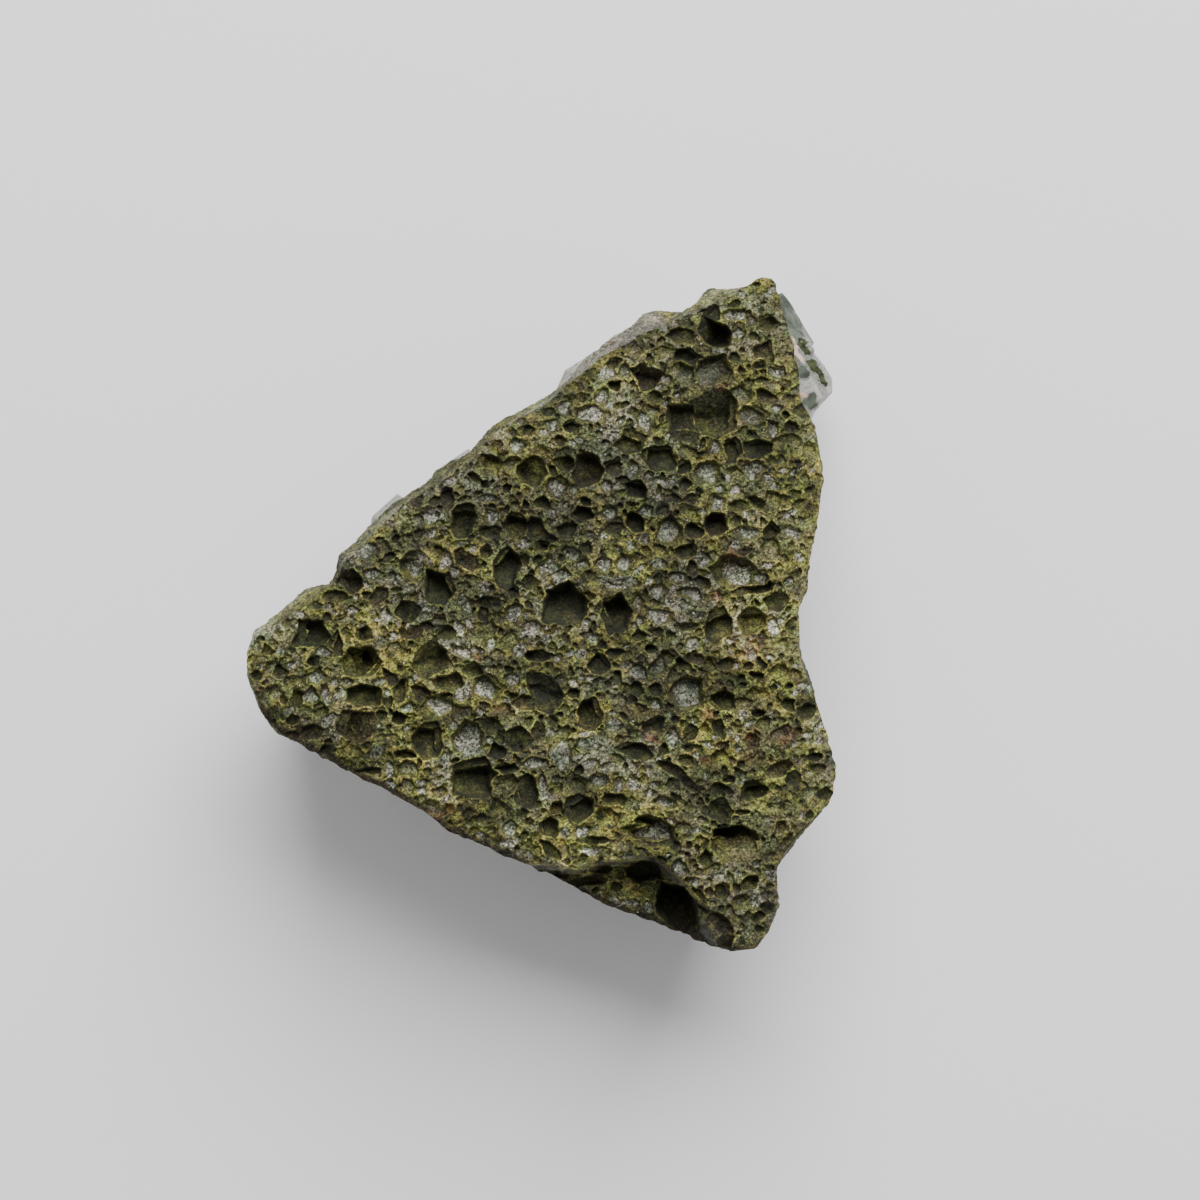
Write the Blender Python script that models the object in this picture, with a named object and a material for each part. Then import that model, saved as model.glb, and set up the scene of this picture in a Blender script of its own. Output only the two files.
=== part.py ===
"""A hand specimen of epidote with quartz, lying at rest with its pitted epidote face up.

The pitted face is a layer of casts: shallow angular pits that share thin ridges. It tops an irregular
slab of massive epidote, and quartz crystals grow out of the slab's underside and edges. Three of the
large crystals lie on a prism face each, and these carry the specimen.

Positions are in millimetres from the middle of the pitted face, +X right and +Y up as one looks at the
face, +Z out of it. The finished specimen is then moved so that its box stands on the origin.
"""

import math
import random
from collections import namedtuple

import bmesh
import bpy
from mathutils import Matrix, Vector, geometry, noise

MM = 0.001
SEED = 41

FACE_HEIGHT = 25.0
FACE_SWELL = 0.7
FACE_SWELL_SIZE = 13.0
RIDGE_WAVER = 0.5
RIDGE_WAVER_SIZE = 2.3
UNDERSIDE_HEIGHT = 9.6
UNDERSIDE_SWELL = 1.2
UNDERSIDE_SWELL_SIZE = 6.5
UNDERSIDE_SHARE = 0.87
SOCKET_GAP = 0.36

# The pitted face's edge, clockwise from its top corner: x, y, how far the edge lies below the middle of
# the face, and how far the side below it stands out past the edge (or in, when negative).
Edge = namedtuple("Edge", "x y drop flare")
FACE_EDGE_ROWS = (
    (20.2, 32.3, 1.0, 0.3), (21.4, 32.0, 1.2, 0.3), (21.9, 30.6, 1.0, 0.1), (22.2, 29.0, 0.8, 0.0),
    (22.9, 27.2, 0.8, 0.0), (23.4, 24.8, 0.8, 0.0), (23.8, 22.4, 0.9, -0.2), (24.0, 20.7, 1.2, -0.3),
    (24.8, 19.2, 1.6, -0.2), (25.5, 17.4, 2.0, -0.2), (25.9, 14.9, 2.2, -0.2), (26.1, 12.8, 2.2, -0.2),
    (25.7, 10.0, 2.0, -0.2), (25.2, 7.0, 1.9, -0.2), (24.8, 4.2, 1.9, -0.3), (24.5, 2.2, 1.9, -0.3),
    (23.9, 0.6, 1.4, -0.3), (23.8, -2.2, 1.2, -0.2), (23.9, -4.4, 1.4, -0.2), (25.0, -7.2, 1.6, -0.2),
    (26.0, -9.8, 1.8, -0.2), (26.8, -12.6, 1.8, -0.2), (27.5, -15.4, 1.8, -0.2), (27.1, -17.5, 1.8, -0.4),
    (25.5, -19.5, 1.6, -0.5), (23.7, -21.2, 1.4, -0.5), (22.0, -23.3, 1.4, -0.4), (21.7, -25.0, 1.2, -0.3),
    (21.8, -27.4, 1.4, -0.3), (21.0, -30.3, 1.8, -0.2), (19.5, -32.2, 2.2, -0.2), (17.3, -32.5, 1.8, -0.2),
    (14.4, -31.6, 1.2, -0.2), (10.4, -29.9, 1.2, -0.2), (6.8, -28.8, 1.2, -0.2), (3.4, -27.2, 1.2, -0.2),
    (0.0, -25.3, 1.2, -0.3), (-3.0, -23.9, 1.2, -0.5), (-6.4, -22.4, 1.2, -0.6), (-10.2, -20.6, 1.2, -0.6),
    (-12.8, -18.7, 1.2, -0.5), (-16.0, -16.9, 1.1, -0.5), (-19.4, -15.2, 1.1, -0.5),
    (-21.6, -13.9, 1.2, -0.4), (-24.4, -12.4, 1.4, -0.3), (-26.4, -11.3, 1.8, -0.2), (-28.1, -9.2, 2.2, 0.0),
    (-29.2, -6.2, 2.4, 0.1), (-29.4, -3.6, 2.2, 0.4), (-28.4, -1.9, 1.6, 0.8), (-26.4, -0.6, 1.3, 0.9),
    (-23.4, 1.3, 1.2, 1.0), (-21.2, 2.9, 1.1, 1.0), (-20.2, 5.0, 1.0, 1.1), (-18.4, 6.5, 1.0, 0.7),
    (-16.6, 8.6, 1.1, 0.8), (-13.6, 11.2, 1.1, 0.8), (-10.2, 13.2, 1.1, 1.0), (-8.0, 14.9, 1.2, 1.2),
    (-5.9, 17.3, 1.2, 1.3), (-3.4, 18.9, 1.0, 1.1), (-0.4, 20.5, 1.0, 0.8), (1.6, 22.2, 1.1, 0.8),
    (4.4, 24.6, 1.2, 0.7), (7.4, 26.4, 1.3, 0.7), (10.4, 27.9, 1.3, 0.9), (13.2, 28.8, 1.2, 1.2),
    (16.0, 30.0, 1.1, 1.2),
)
FACE_EDGE = [Edge(*row) for row in FACE_EDGE_ROWS]
EDGE_LINE = [(edge.x, edge.y) for edge in FACE_EDGE]
EDGE_FADE = 1.7

# Parts of the face that lie lower than the rest: the step's line, its height, and how sheer it is.
Ledge = namedtuple("Ledge", "outline drop width")
LEDGES = [
    Ledge(
        (
            (-3.6, -24.4), (-0.7, -23.9), (2.2, -24.6), (4.6, -23.8), (9.9, -23.3), (12.4, -25.5),
            (13.6, -27.2), (14.9, -30.2), (17.0, -34.0), (0.0, -36.0),
        ),
        4.6,
        0.9,
    ),
    Ledge(
        ((23.6, -8.4), (23.2, -12.0), (24.1, -14.6), (25.2, -18.4), (30.0, -20.0), (30.0, -6.0)),
        1.0,
        0.7,
    ),
]

# Each pit is the cast of a crystal that is gone: x, y, radius, depth.
Pit = namedtuple("Pit", "x y radius depth")
NOTABLE_PITS = [
    Pit(*row)
    for row in (
        # the great pits near the top corner, and the ring round them
        (16.0, 28.4, 1.8, 3.8), (15.3, 24.8, 2.3, 1.5), (15.8, 20.4, 3.2, 3.0), (9.3, 24.0, 1.6, 2.3),
        (9.8, 21.9, 1.0, 1.1), (6.0, 23.0, 0.8, 1.1), (20.4, 25.4, 0.9, 1.4), (22.2, 24.3, 1.0, 0.7),
        (21.4, 21.5, 1.0, 1.7), (23.5, 21.8, 0.8, 1.2), (19.4, 22.2, 1.1, 0.9), (20.3, 16.7, 1.6, 1.4),
        (17.6, 16.4, 1.4, 1.2), (13.8, 15.9, 1.4, 1.0), (10.2, 16.6, 2.2, 1.3), (23.3, 17.4, 1.2, 1.0),
        (18.6, 29.0, 1.3, 0.8), (20.6, 30.6, 0.9, 0.7), (12.2, 27.0, 1.0, 0.7), (12.4, 22.8, 1.0, 0.8),
        # the upper edge
        (1.8, 22.0, 1.2, 1.2), (4.8, 21.5, 1.0, 1.1), (3.8, 19.7, 1.2, 0.9), (1.8, 18.6, 1.0, 1.8),
        (-0.6, 19.0, 1.1, 0.8), (8.0, 20.5, 0.9, 0.9), (10.3, 19.2, 1.1, 0.9), (-2.3, 14.5, 1.8, 2.2),
        (2.6, 14.8, 2.2, 2.3), (-0.7, 16.5, 1.1, 1.2), (-6.7, 15.1, 1.2, 1.3), (-3.2, 18.0, 1.0, 0.7),
        (0.8, 12.4, 1.4, 0.8), (4.3, 11.8, 1.3, 1.0), (7.0, 14.6, 1.2, 0.9), (8.3, 12.4, 1.2, 1.7),
        (9.4, 10.4, 1.0, 0.7), (5.2, 17.2, 1.2, 0.8), (-9.0, 13.2, 0.9, 0.9),
        # the middle band
        (11.8, 7.9, 1.9, 0.7), (8.4, 8.4, 1.4, 1.8), (16.0, 8.6, 1.9, 1.8), (19.6, 8.2, 1.4, 1.0),
        (1.7, 8.4, 1.5, 1.6), (-3.2, 8.6, 1.9, 2.0), (-8.7, 9.8, 1.6, 1.8), (-12.2, 10.3, 1.0, 1.1),
        (-13.8, 8.4, 1.0, 0.9), (-13.7, 4.9, 1.9, 1.7), (-11.2, 2.4, 1.6, 2.0), (-9.6, 5.7, 1.3, 1.4),
        (-5.2, 4.7, 1.9, 1.5), (-6.5, 0.9, 1.3, 1.4), (-20.6, 3.6, 1.4, 2.0), (-18.2, 6.5, 1.2, 1.0),
        (-17.6, 4.0, 1.0, 1.0), (1.6, 0.8, 2.9, 2.3), (6.5, 0.0, 1.9, 2.5), (18.4, 4.7, 2.0, 1.9),
        (16.4, -0.7, 1.7, 1.9), (20.3, -0.5, 1.5, 1.3), (23.8, -1.3, 0.8, 1.0), (5.0, 5.0, 1.6, 0.6),
        (12.8, 12.2, 1.3, 0.9), (17.0, 12.6, 1.5, 0.8), (21.0, 12.4, 1.2, 0.9), (22.9, 5.0, 1.1, 0.8),
        (12.4, 2.4, 1.6, 0.8), (9.3, 4.6, 1.2, 0.7), (-16.0, 1.4, 1.0, 1.0), (-18.6, 0.6, 1.0, 0.9),
        (-2.0, 12.0, 1.0, 0.9), (-5.6, 11.6, 1.0, 1.0), (-2.6, 1.2, 1.2, 0.8), (-8.4, -1.4, 1.1, 0.9),
        (-5.0, -2.2, 1.2, 0.8), (10.9, -1.0, 1.2, 0.9), (13.8, 5.4, 1.1, 0.9),
        # the left corner
        (-24.0, -1.6, 1.6, 1.8), (-21.6, -3.2, 1.1, 1.9), (-19.2, -4.6, 1.9, 2.5), (-15.3, -3.2, 1.1, 0.9),
        (-11.9, -4.4, 2.2, 2.1), (-23.7, -5.8, 1.3, 1.3), (-25.4, -8.6, 1.2, 1.4), (-19.1, -7.9, 1.7, 1.5),
        (-10.7, -7.1, 1.3, 1.7), (-14.2, -7.4, 1.4, 1.4), (-11.7, -9.8, 1.3, 0.7), (-8.6, -7.8, 1.0, 0.7),
        (-6.0, -7.5, 1.5, 0.9), (-19.7, -11.4, 2.0, 2.1), (-15.5, -10.2, 1.0, 1.9), (-12.6, -12.6, 1.9, 1.7),
        (-24.6, -11.4, 1.1, 1.4), (-8.6, -12.7, 1.8, 1.3), (-3.3, -12.2, 1.4, 1.4), (-5.8, -13.9, 1.0, 1.3),
        (-22.3, -12.8, 0.9, 0.9), (-19.0, -14.0, 1.1, 1.1), (-14.5, -14.6, 1.1, 1.7),
        (-8.1, -16.4, 2.1, 2.2), (-12.4, -16.2, 0.9, 0.9), (-4.9, -15.8, 1.0, 1.1), (-2.6, -17.6, 1.5, 1.6),
        (-27.6, -4.4, 1.2, 1.2), (-22.6, -8.8, 1.1, 0.8), (-28.2, -7.6, 1.0, 1.0), (-16.6, -6.0, 0.9, 1.0),
        # the lower right
        (-1.2, -7.6, 1.9, 1.2), (-0.4, -4.0, 1.2, 1.2), (7.3, -3.9, 1.3, 1.0), (3.6, -10.0, 1.7, 1.4),
        (13.3, -7.8, 1.4, 1.1), (15.3, -5.9, 0.8, 1.2), (20.3, -6.0, 0.8, 1.4), (17.5, -8.7, 1.4, 1.5),
        (20.5, -9.9, 0.9, 1.5), (13.4, -4.8, 0.9, 1.2), (9.8, -10.6, 1.3, 1.1), (13.6, -11.6, 1.0, 1.0),
        (16.3, -11.8, 1.2, 1.0), (6.6, -13.2, 1.5, 0.9), (11.4, -15.4, 1.3, 1.2), (13.9, -17.4, 1.3, 1.2),
        (2.6, -19.0, 1.4, 1.4), (6.0, -19.6, 1.6, 1.2), (9.6, -21.8, 1.9, 2.7), (18.3, -22.2, 2.3, 2.5),
        (-0.4, -21.3, 1.1, 1.1), (4.5, -23.1, 1.5, 1.4), (20.2, -17.3, 1.4, 2.1), (17.4, -16.3, 0.9, 1.0),
        (19.9, -26.5, 1.0, 1.7), (16.8, -27.6, 1.1, 1.1), (20.1, -28.9, 1.0, 1.1), (8.8, -26.0, 1.7, 2.4),
        (12.6, -29.2, 2.6, 3.0), (2.9, -26.6, 1.1, 1.4), (25.4, -9.4, 1.0, 1.2), (25.9, -14.2, 0.9, 1.0),
        (26.6, -17.2, 1.0, 1.0), (23.6, -9.0, 0.9, 0.9), (3.6, -15.2, 1.3, 0.8), (8.2, -8.0, 1.2, 0.8),
        (23.2, -18.8, 1.2, 0.8), (14.2, -24.0, 1.5, 0.7), (23.4, -13.2, 1.1, 0.7),
    )
]

# Smaller pits fill what is left of the face.
FILL_TRIES = 4200
FILL_RADIUS = (0.75, 1.6)
FILL_DEPTH = (0.35, 1.1)
FILL_CROWDING = 0.95
FILL_MARGIN = 0.7
NEIGHBOUR_REACH = 9.0

# A pit's form: a bevelled lip along its ridges, a steep wall and a flat tilted floor.
FLOOR_TILT = 0.34
SHALLOWEST_FLOOR = 0.3
LIP_WIDTH = 0.3
LIP_SLOPE = 0.7
WALL_SLOPE = 1.9
WIDEST_WALL = 0.62
BROAD_PIT = 1.25
SHORTEST_SIDE = 0.12
EDGE_PIT_LOSS = 0.75
EDGE_PIT_REACH = 0.5

# Six-sided crystals. tip is the pointed end, heading its compass angle about +Z from +X, rise its angle
# above level, roll the turn about its own axis. blunt is the length of the point over the radius, slim
# the depth over the width, and skew how far the tip leans to the left of the heading, over the radius.
Crystal = namedtuple("Crystal", "tip heading rise length radius roll blunt slim skew")
HEXAGON_FLAT = math.cos(math.radians(30.0))


def lying(x, y, heading, length, radius, blunt, skew):
    """A crystal that rests on one of its prism faces."""
    return Crystal((x, y, radius * HEXAGON_FLAT), heading, 0.0, length, radius, 0.0, blunt, 1.0, skew)


QUARTZ_CRYSTALS = {
    "quartz_crystal_top_right": [
        lying(21.9, 17.9, -60.0, 12.0, 7.0, 0.7, -0.25),
        Crystal((25.9, 19.0, 9.0), -54.0, 0.0, 12.0, 3.0, 4.0, 0.45, 1.0, -0.35),
    ],
    "quartz_crystal_left": [lying(-27.4, -5.6, 184.0, 18.4, 6.6, 1.05, 0.2)],
    "quartz_crystal_bottom": [lying(18.2, -29.6, -62.0, 19.0, 6.8, 1.0, -0.2)],
    "quartz_crystal_upper_edge": [
        Crystal((0.1, 18.8, 15.6), 210.5, 2.0, 12.5, 3.9, 8.0, 1.2, 1.15, -0.35),
    ],
    "quartz_crystal_edge_middle": [
        Crystal((-11.4, 12.1, 17.4), 214.0, 4.0, 5.0, 1.7, 20.0, 1.2, 1.0, -0.2),
    ],
    "quartz_crystal_edge_left": [
        Crystal((-17.6, 6.0, 15.0), 222.0, 4.0, 5.8, 2.8, 12.0, 1.1, 1.0, -0.3),
    ],
}

# Clusters of crystals that radiate from a shared root: x, y, how far they reach, the thickest one's
# radius, how many there are and the seed of their scatter.
Cluster = namedtuple("Cluster", "x y reach thickest count seed")
CLUSTERS = {
    "quartz_cluster_middle": Cluster(3.4, 3.4, 8.6, 4.8, 7, 3),
    "quartz_cluster_upper": Cluster(4.6, 15.8, 6.6, 3.9, 5, 5),
    "quartz_cluster_right": Cluster(17.8, 4.6, 7.4, 4.3, 6, 8),
    "quartz_cluster_upper_left": Cluster(-9.8, 7.8, 6.6, 3.8, 6, 14),
    "quartz_cluster_lower_left": Cluster(-7.4, -17.2, 5.6, 3.5, 6, 24),
    "quartz_cluster_low_middle": Cluster(0.2, -9.0, 6.2, 3.6, 5, 34),
    "quartz_cluster_lower_right": Cluster(19.8, -9.0, 5.8, 3.5, 5, 55),
}
CLUSTER_ROOT_HEIGHT = 10.6
CLUSTER_LOWEST_TIP = 0.7
GOLDEN_ANGLE = 137.5


def radiating(cluster):
    """The crystals of a cluster: upright and thick in the middle, leaning and slim around it."""
    dice = random.Random(cluster.seed)
    crystals = []
    for k in range(cluster.count):
        outward = math.sqrt((k + 0.3) / cluster.count)
        heading = (GOLDEN_ANGLE * k + dice.uniform(-14.0, 14.0)) % 360.0
        rise = -(80.0 - 52.0 * outward) + dice.uniform(-5.0, 5.0)
        level, down = math.cos(math.radians(rise)), -math.sin(math.radians(rise))
        radius = cluster.thickest * (1.0 - 0.45 * outward) * dice.uniform(0.8, 1.0)
        deepest = (CLUSTER_ROOT_HEIGHT - CLUSTER_LOWEST_TIP) / down
        widest = cluster.reach * (0.55 + 0.45 * outward) / level
        length = min(deepest, widest) * dice.uniform(0.86, 1.0)
        east, north = math.cos(math.radians(heading)), math.sin(math.radians(heading))
        way = Vector((east * level, north * level, -down))
        tip = Vector((cluster.x, cluster.y, CLUSTER_ROOT_HEIGHT)) + way * length
        length += dice.uniform(0.0, 0.9)
        roll, blunt = dice.uniform(0.0, 60.0), dice.uniform(1.0, 1.35)
        slim, skew = dice.uniform(0.82, 1.0), dice.uniform(-0.3, 0.3)
        crystals.append(Crystal(tuple(tip), heading, rise, length, radius, roll, blunt, slim, skew))
    return crystals


# Slender epidote crystals that grow out of the slab between the quartz. They are fused to it.
EPIDOTE_SPRAYS = [
    Crystal((12.6, 8.6, 4.2), 70.0, -66.0, 9.0, 1.0, 10.0, 0.7, 0.6, 0.0),
    Crystal((13.4, 11.4, 5.2), 40.0, -60.0, 9.0, 0.9, 45.0, 0.7, 0.6, 0.0),
    Crystal((-23.6, 1.4, 6.6), 150.0, -40.0, 9.0, 0.9, 20.0, 0.7, 0.6, 0.0),
    Crystal((-16.0, -13.4, 4.6), 236.0, -56.0, 9.0, 0.9, 30.0, 0.7, 0.6, 0.0),
    Crystal((12.4, -3.6, 3.8), -80.0, -64.0, 9.0, 1.1, 15.0, 0.7, 0.6, 0.0),
    Crystal((25.2, -16.0, 5.4), -20.0, -44.0, 9.0, 0.9, 50.0, 0.7, 0.6, 0.0),
    Crystal((1.6, -21.8, 5.6), 262.0, -50.0, 9.0, 0.9, 5.0, 0.7, 0.6, 0.0),
    Crystal((-5.2, -0.8, 3.6), 250.0, -70.0, 9.0, 0.9, 5.0, 0.7, 0.6, 0.0),
]

EPIDOTE_GREEN = (0.115, 0.130, 0.040, 1.0)
QUARTZ_CLEAR = (0.80, 0.80, 0.76, 1.0)


def clear_scene():
    """Start from an empty scene."""
    for old in list(bpy.data.objects):
        bpy.data.objects.remove(old, do_unlink=True)


def stone_material(name, colour, roughness, transmission=0.0):
    """A Principled surface of one mineral."""
    made = bpy.data.materials.new(name)
    made.use_nodes = True
    shader = made.node_tree.nodes["Principled BSDF"]
    shader.inputs["Base Color"].default_value = colour
    shader.inputs["Roughness"].default_value = roughness
    shader.inputs["Metallic"].default_value = 0.0
    shader.inputs["Transmission Weight"].default_value = transmission
    return made


def nearest_on(ring, x, y):
    """The distance from a point to a closed run of points, the nearest side and the place along it."""
    best = (math.inf, 0, 0.0)
    for i, (ax, ay) in enumerate(ring):
        bx, by = ring[(i + 1) % len(ring)]
        dx, dy = bx - ax, by - ay
        t = min(1.0, max(0.0, ((x - ax) * dx + (y - ay) * dy) / (dx * dx + dy * dy)))
        best = min(best, (math.hypot(x - ax - t * dx, y - ay - t * dy), i, t))
    return best


def within(ring, x, y):
    """True where a point lies inside a closed run of points."""
    inside = False
    for i, (ax, ay) in enumerate(ring):
        bx, by = ring[(i + 1) % len(ring)]
        if (ay > y) != (by > y) and x < ax + (y - ay) * (bx - ax) / (by - ay):
            inside = not inside
    return inside


def ledge_drop(x, y):
    """How far the ledges lower the face at a point."""
    drop = 0.0
    for ledge in LEDGES:
        if within(ledge.outline, x, y):
            away = nearest_on(ledge.outline, x, y)[0]
            drop += ledge.drop * min(1.0, away / ledge.width)
    return drop


def edge_below(x, y):
    """The distance from a point to the face's edge, and the edge's drop at the nearest place."""
    away, i, t = nearest_on(EDGE_LINE, x, y)
    a, b = FACE_EDGE[i], FACE_EDGE[(i + 1) % len(FACE_EDGE)]
    return away, a.drop + t * (b.drop - a.drop)


def inside_face(x, y):
    """True where a point lies within the face's edge."""
    return within(EDGE_LINE, x, y)


def fill_pits(notable):
    """The notable pits and, between them, smaller ones placed by seeded throws."""
    dice = random.Random(SEED)
    pits = list(notable)
    for _ in range(FILL_TRIES):
        x, y = dice.uniform(-32.0, 29.0), dice.uniform(-34.0, 34.0)
        radius = dice.uniform(*FILL_RADIUS)
        clear = all(
            math.hypot(x - p.x, y - p.y) > FILL_CROWDING * (radius + p.radius) for p in pits
        )
        if clear and inside_face(x, y) and edge_below(x, y)[0] > FILL_MARGIN:
            pits.append(Pit(x, y, radius, dice.uniform(*FILL_DEPTH) * radius))
    return pits


def rim_distance(pits, i, j, x, y):
    """How far a point of pit i lies inside the ridge that it shares with pit j."""
    a, b = pits[i], pits[j]
    apart = math.hypot(b.x - a.x, b.y - a.y)
    power_a = (x - a.x) ** 2 + (y - a.y) ** 2 - a.radius**2
    power_b = (x - b.x) ** 2 + (y - b.y) ** 2 - b.radius**2
    return (power_b - power_a) / (2.0 * apart)


def neighbours(pits, i):
    """The pits near enough to share a ridge with pit i."""
    a = pits[i]
    return [j for j, b in enumerate(pits) if j != i and math.hypot(b.x - a.x, b.y - a.y) < NEIGHBOUR_REACH]


def pit_outline(pits, i, near, inset):
    """The polygon of pit i at a distance inside its ridges, cut from a square that holds the pit."""
    a = pits[i]
    half = 2.2 * a.radius + 2.0
    left, right, low, high = a.x - half, a.x + half, a.y - half, a.y + half
    ring = [(left, low), (right, low), (right, high), (left, high)]
    for j in near:
        kept = []
        gaps = [rim_distance(pits, i, j, x, y) - inset for x, y in ring]
        for k, (x, y) in enumerate(ring):
            nx, ny = ring[(k + 1) % len(ring)]
            here, there = gaps[k], gaps[(k + 1) % len(ring)]
            if here >= 0.0:
                kept.append((x, y))
            if (here >= 0.0) != (there >= 0.0):
                t = here / (here - there)
                kept.append((x + t * (nx - x), y + t * (ny - y)))
        ring = kept
        if len(ring) < 3:
            return []
    return ring


class PittedFace:
    """The heights of the pitted face, pit by pit."""

    def __init__(self):
        self.pits = fill_pits(NOTABLE_PITS)
        self.near = [neighbours(self.pits, i) for i in range(len(self.pits))]
        dice = random.Random(SEED + 1)
        self.tilt = []
        for pit in self.pits:
            slope = FLOOR_TILT * dice.uniform(0.3, 1.0)
            bearing = dice.uniform(0.0, math.tau)
            self.tilt.append((slope * math.cos(bearing), slope * math.sin(bearing)))

    def wall_width(self, i):
        """The distance from pit i's ridge to the foot of its wall."""
        pit = self.pits[i]
        width = LIP_WIDTH + max(0.0, pit.depth - LIP_SLOPE * LIP_WIDTH) / WALL_SLOPE
        return min(width, WIDEST_WALL * pit.radius)

    def floor_depth(self, i, x, y):
        """How far pit i's flat, tilted floor lies below its ridges."""
        pit, (tx, ty) = self.pits[i], self.tilt[i]
        depth = pit.depth + tx * (x - pit.x) + ty * (y - pit.y)
        return max(SHALLOWEST_FLOOR * pit.depth, depth)

    def depth(self, x, y):
        """How far the face is hollowed at a point."""
        powers = [(x - p.x) ** 2 + (y - p.y) ** 2 - p.radius**2 for p in self.pits]
        i = powers.index(min(powers))
        rim = min(rim_distance(self.pits, i, j, x, y) for j in self.near[i])
        foot = self.wall_width(i)
        deepest = self.floor_depth(i, x, y)
        if rim >= foot:
            return deepest
        lip = min(rim, LIP_WIDTH) * LIP_SLOPE + max(0.0, rim - LIP_WIDTH) * WALL_SLOPE
        whole = min(foot, LIP_WIDTH) * LIP_SLOPE + max(0.0, foot - LIP_WIDTH) * WALL_SLOPE
        return deepest * max(0.0, lip) / whole

    def height(self, x, y):
        """The height of the face at a point: its broad swell, its falling edge and its pits."""
        away, drop = edge_below(x, y)
        swell = FACE_SWELL * noise.noise(Vector((x / FACE_SWELL_SIZE, y / FACE_SWELL_SIZE, 3.7)))
        swell += RIDGE_WAVER * noise.noise(Vector((x / RIDGE_WAVER_SIZE, y / RIDGE_WAVER_SIZE, 9.1)))
        fall = drop * math.exp(-away / EDGE_FADE) + ledge_drop(x, y)
        fade = 1.0 - EDGE_PIT_LOSS * math.exp(-away / EDGE_PIT_REACH)
        return FACE_HEIGHT + swell - fall - fade * self.depth(x, y)

    def lines(self):
        """Every pit's ridge, lip and floor polygon, with the face's edge first."""
        yield EDGE_LINE
        for i, pit in enumerate(self.pits):
            insets = [0.0, self.wall_width(i)]
            if pit.radius > BROAD_PIT:
                insets.insert(1, LIP_WIDTH)
            for inset in insets:
                ring = pit_outline(self.pits, i, self.near[i], inset)
                if ring:
                    yield ring

    def triangles(self):
        """The face cut into triangles along all those lines: 2D points and faces."""
        points, edges = [], []
        for ring in self.lines():
            first = len(points)
            points += [Vector(p) for p in ring]
            edges += [(first + k, first + (k + 1) % len(ring)) for k in range(len(ring))]
        points, _, faces, *_ = geometry.delaunay_2d_cdt(points, edges, [], 0, SHORTEST_SIDE)
        kept = []
        for face in faces:
            centre = sum((points[k] for k in face), Vector((0.0, 0.0))) / len(face)
            if inside_face(*centre):
                kept.append(face)
        return points, in_order(points, kept)


def in_order(points, faces):
    """The same faces in an order that depends only on where their corners lie."""
    turned = []
    for face in faces:
        first = min(range(len(face)), key=lambda i: tuple(points[face[i]]))
        turned.append(list(face[first:]) + list(face[:first]))
    return sorted(turned, key=lambda face: [tuple(points[k]) for k in face])


def outer_loop(faces):
    """The open edges of the triangles as one closed run of point numbers."""
    sides = [(a, face[(k + 1) % len(face)]) for face in faces for k, a in enumerate(face)]
    known = set(sides)
    onward = {a: b for a, b in sides if (b, a) not in known}
    start = next(iter(onward))
    loop = [start]
    while onward[loop[-1]] != start:
        loop.append(onward[loop[-1]])
    return loop


def add_pitted_top(mesh, face):
    """Add the pitted face. Returns the corners along its open edge, and their places seen from above."""
    points, triangles = face.triangles()
    corners = {}
    for triangle in triangles:
        for k in triangle:
            if k not in corners:
                corners[k] = mesh.verts.new((*points[k], face.height(*points[k])))
        mesh.faces.new([corners[k] for k in triangle])
    loop = outer_loop(triangles)
    return [corners[k] for k in loop], [points[k].copy() for k in loop]


# The slab's side, as shares of its height: how far down, and how much of the flare shows there.
SIDE_RINGS = ((0.16, 0.55), (0.38, 1.0), (0.68, 0.75), (1.0, 0.0))
SIDE_BULGE = 2.2
SIDE_ROUGHNESS = 0.6
ROUGHNESS_SIZE = 3.4
SIDE_STEPS = 1.1
STEP_BLOCK = 4.6
RING_SPACING = 1.9
ROUGH_BELOW_SHARE = 1.0 / 3.0


def side_flare(x, y):
    """How far the slab's side stands out below the nearest place of the face's edge."""
    return min(FACE_EDGE, key=lambda e: math.hypot(e.x - x, e.y - y)).flare


def underside_height(x, y):
    """The height of the slab's rough underside."""
    place = Vector((x / UNDERSIDE_SWELL_SIZE, y / UNDERSIDE_SWELL_SIZE, 20.3))
    return UNDERSIDE_HEIGHT + UNDERSIDE_SWELL * noise.noise(place)


def outward_along(loop):
    """The outward direction at each point of a closed run, smoothed over its neighbours."""
    count, directions = len(loop), []
    for k in range(count):
        run = loop[(k + 3) % count] - loop[(k - 3) % count]
        directions.append(Vector((run.y, -run.x)).normalized())
    return directions


def spaced_places(edge):
    """The numbers of the edge's points that start a broad facet of the side."""
    kept = [0]
    for k in range(1, len(edge)):
        if (edge[k] - edge[kept[-1]]).length > RING_SPACING:
            kept.append(k)
    return kept


def side_place(edge_point, outward, middle, top, down, flare_share):
    """A point of the broken side below a point of the face's edge."""
    share = 1.0 - (1.0 - UNDERSIDE_SHARE) * down**SIDE_BULGE
    place = middle + (edge_point - middle) * share
    place = place + outward * side_flare(*edge_point) * flare_share
    z = top + (underside_height(*place) - top) * down
    rough = SIDE_ROUGHNESS * noise.noise_vector(Vector((*place, z)) / ROUGHNESS_SIZE)
    step = outward * SIDE_STEPS * noise.cell(Vector((*place, z)) / STEP_BLOCK)
    return Vector((*place, z)) + (rough + step.to_3d()) * min(1.0, down / ROUGH_BELOW_SHARE)


def join_rings(mesh, above, below):
    """Fill the strip between two rings of the side. Neighbours may share a corner of the lower ring."""
    for k, a in enumerate(above):
        n = (k + 1) % len(above)
        if below[n] is below[k]:
            mesh.faces.new((above[n], a, below[k]))
        else:
            mesh.faces.new((above[n], a, below[k], below[n]))


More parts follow.
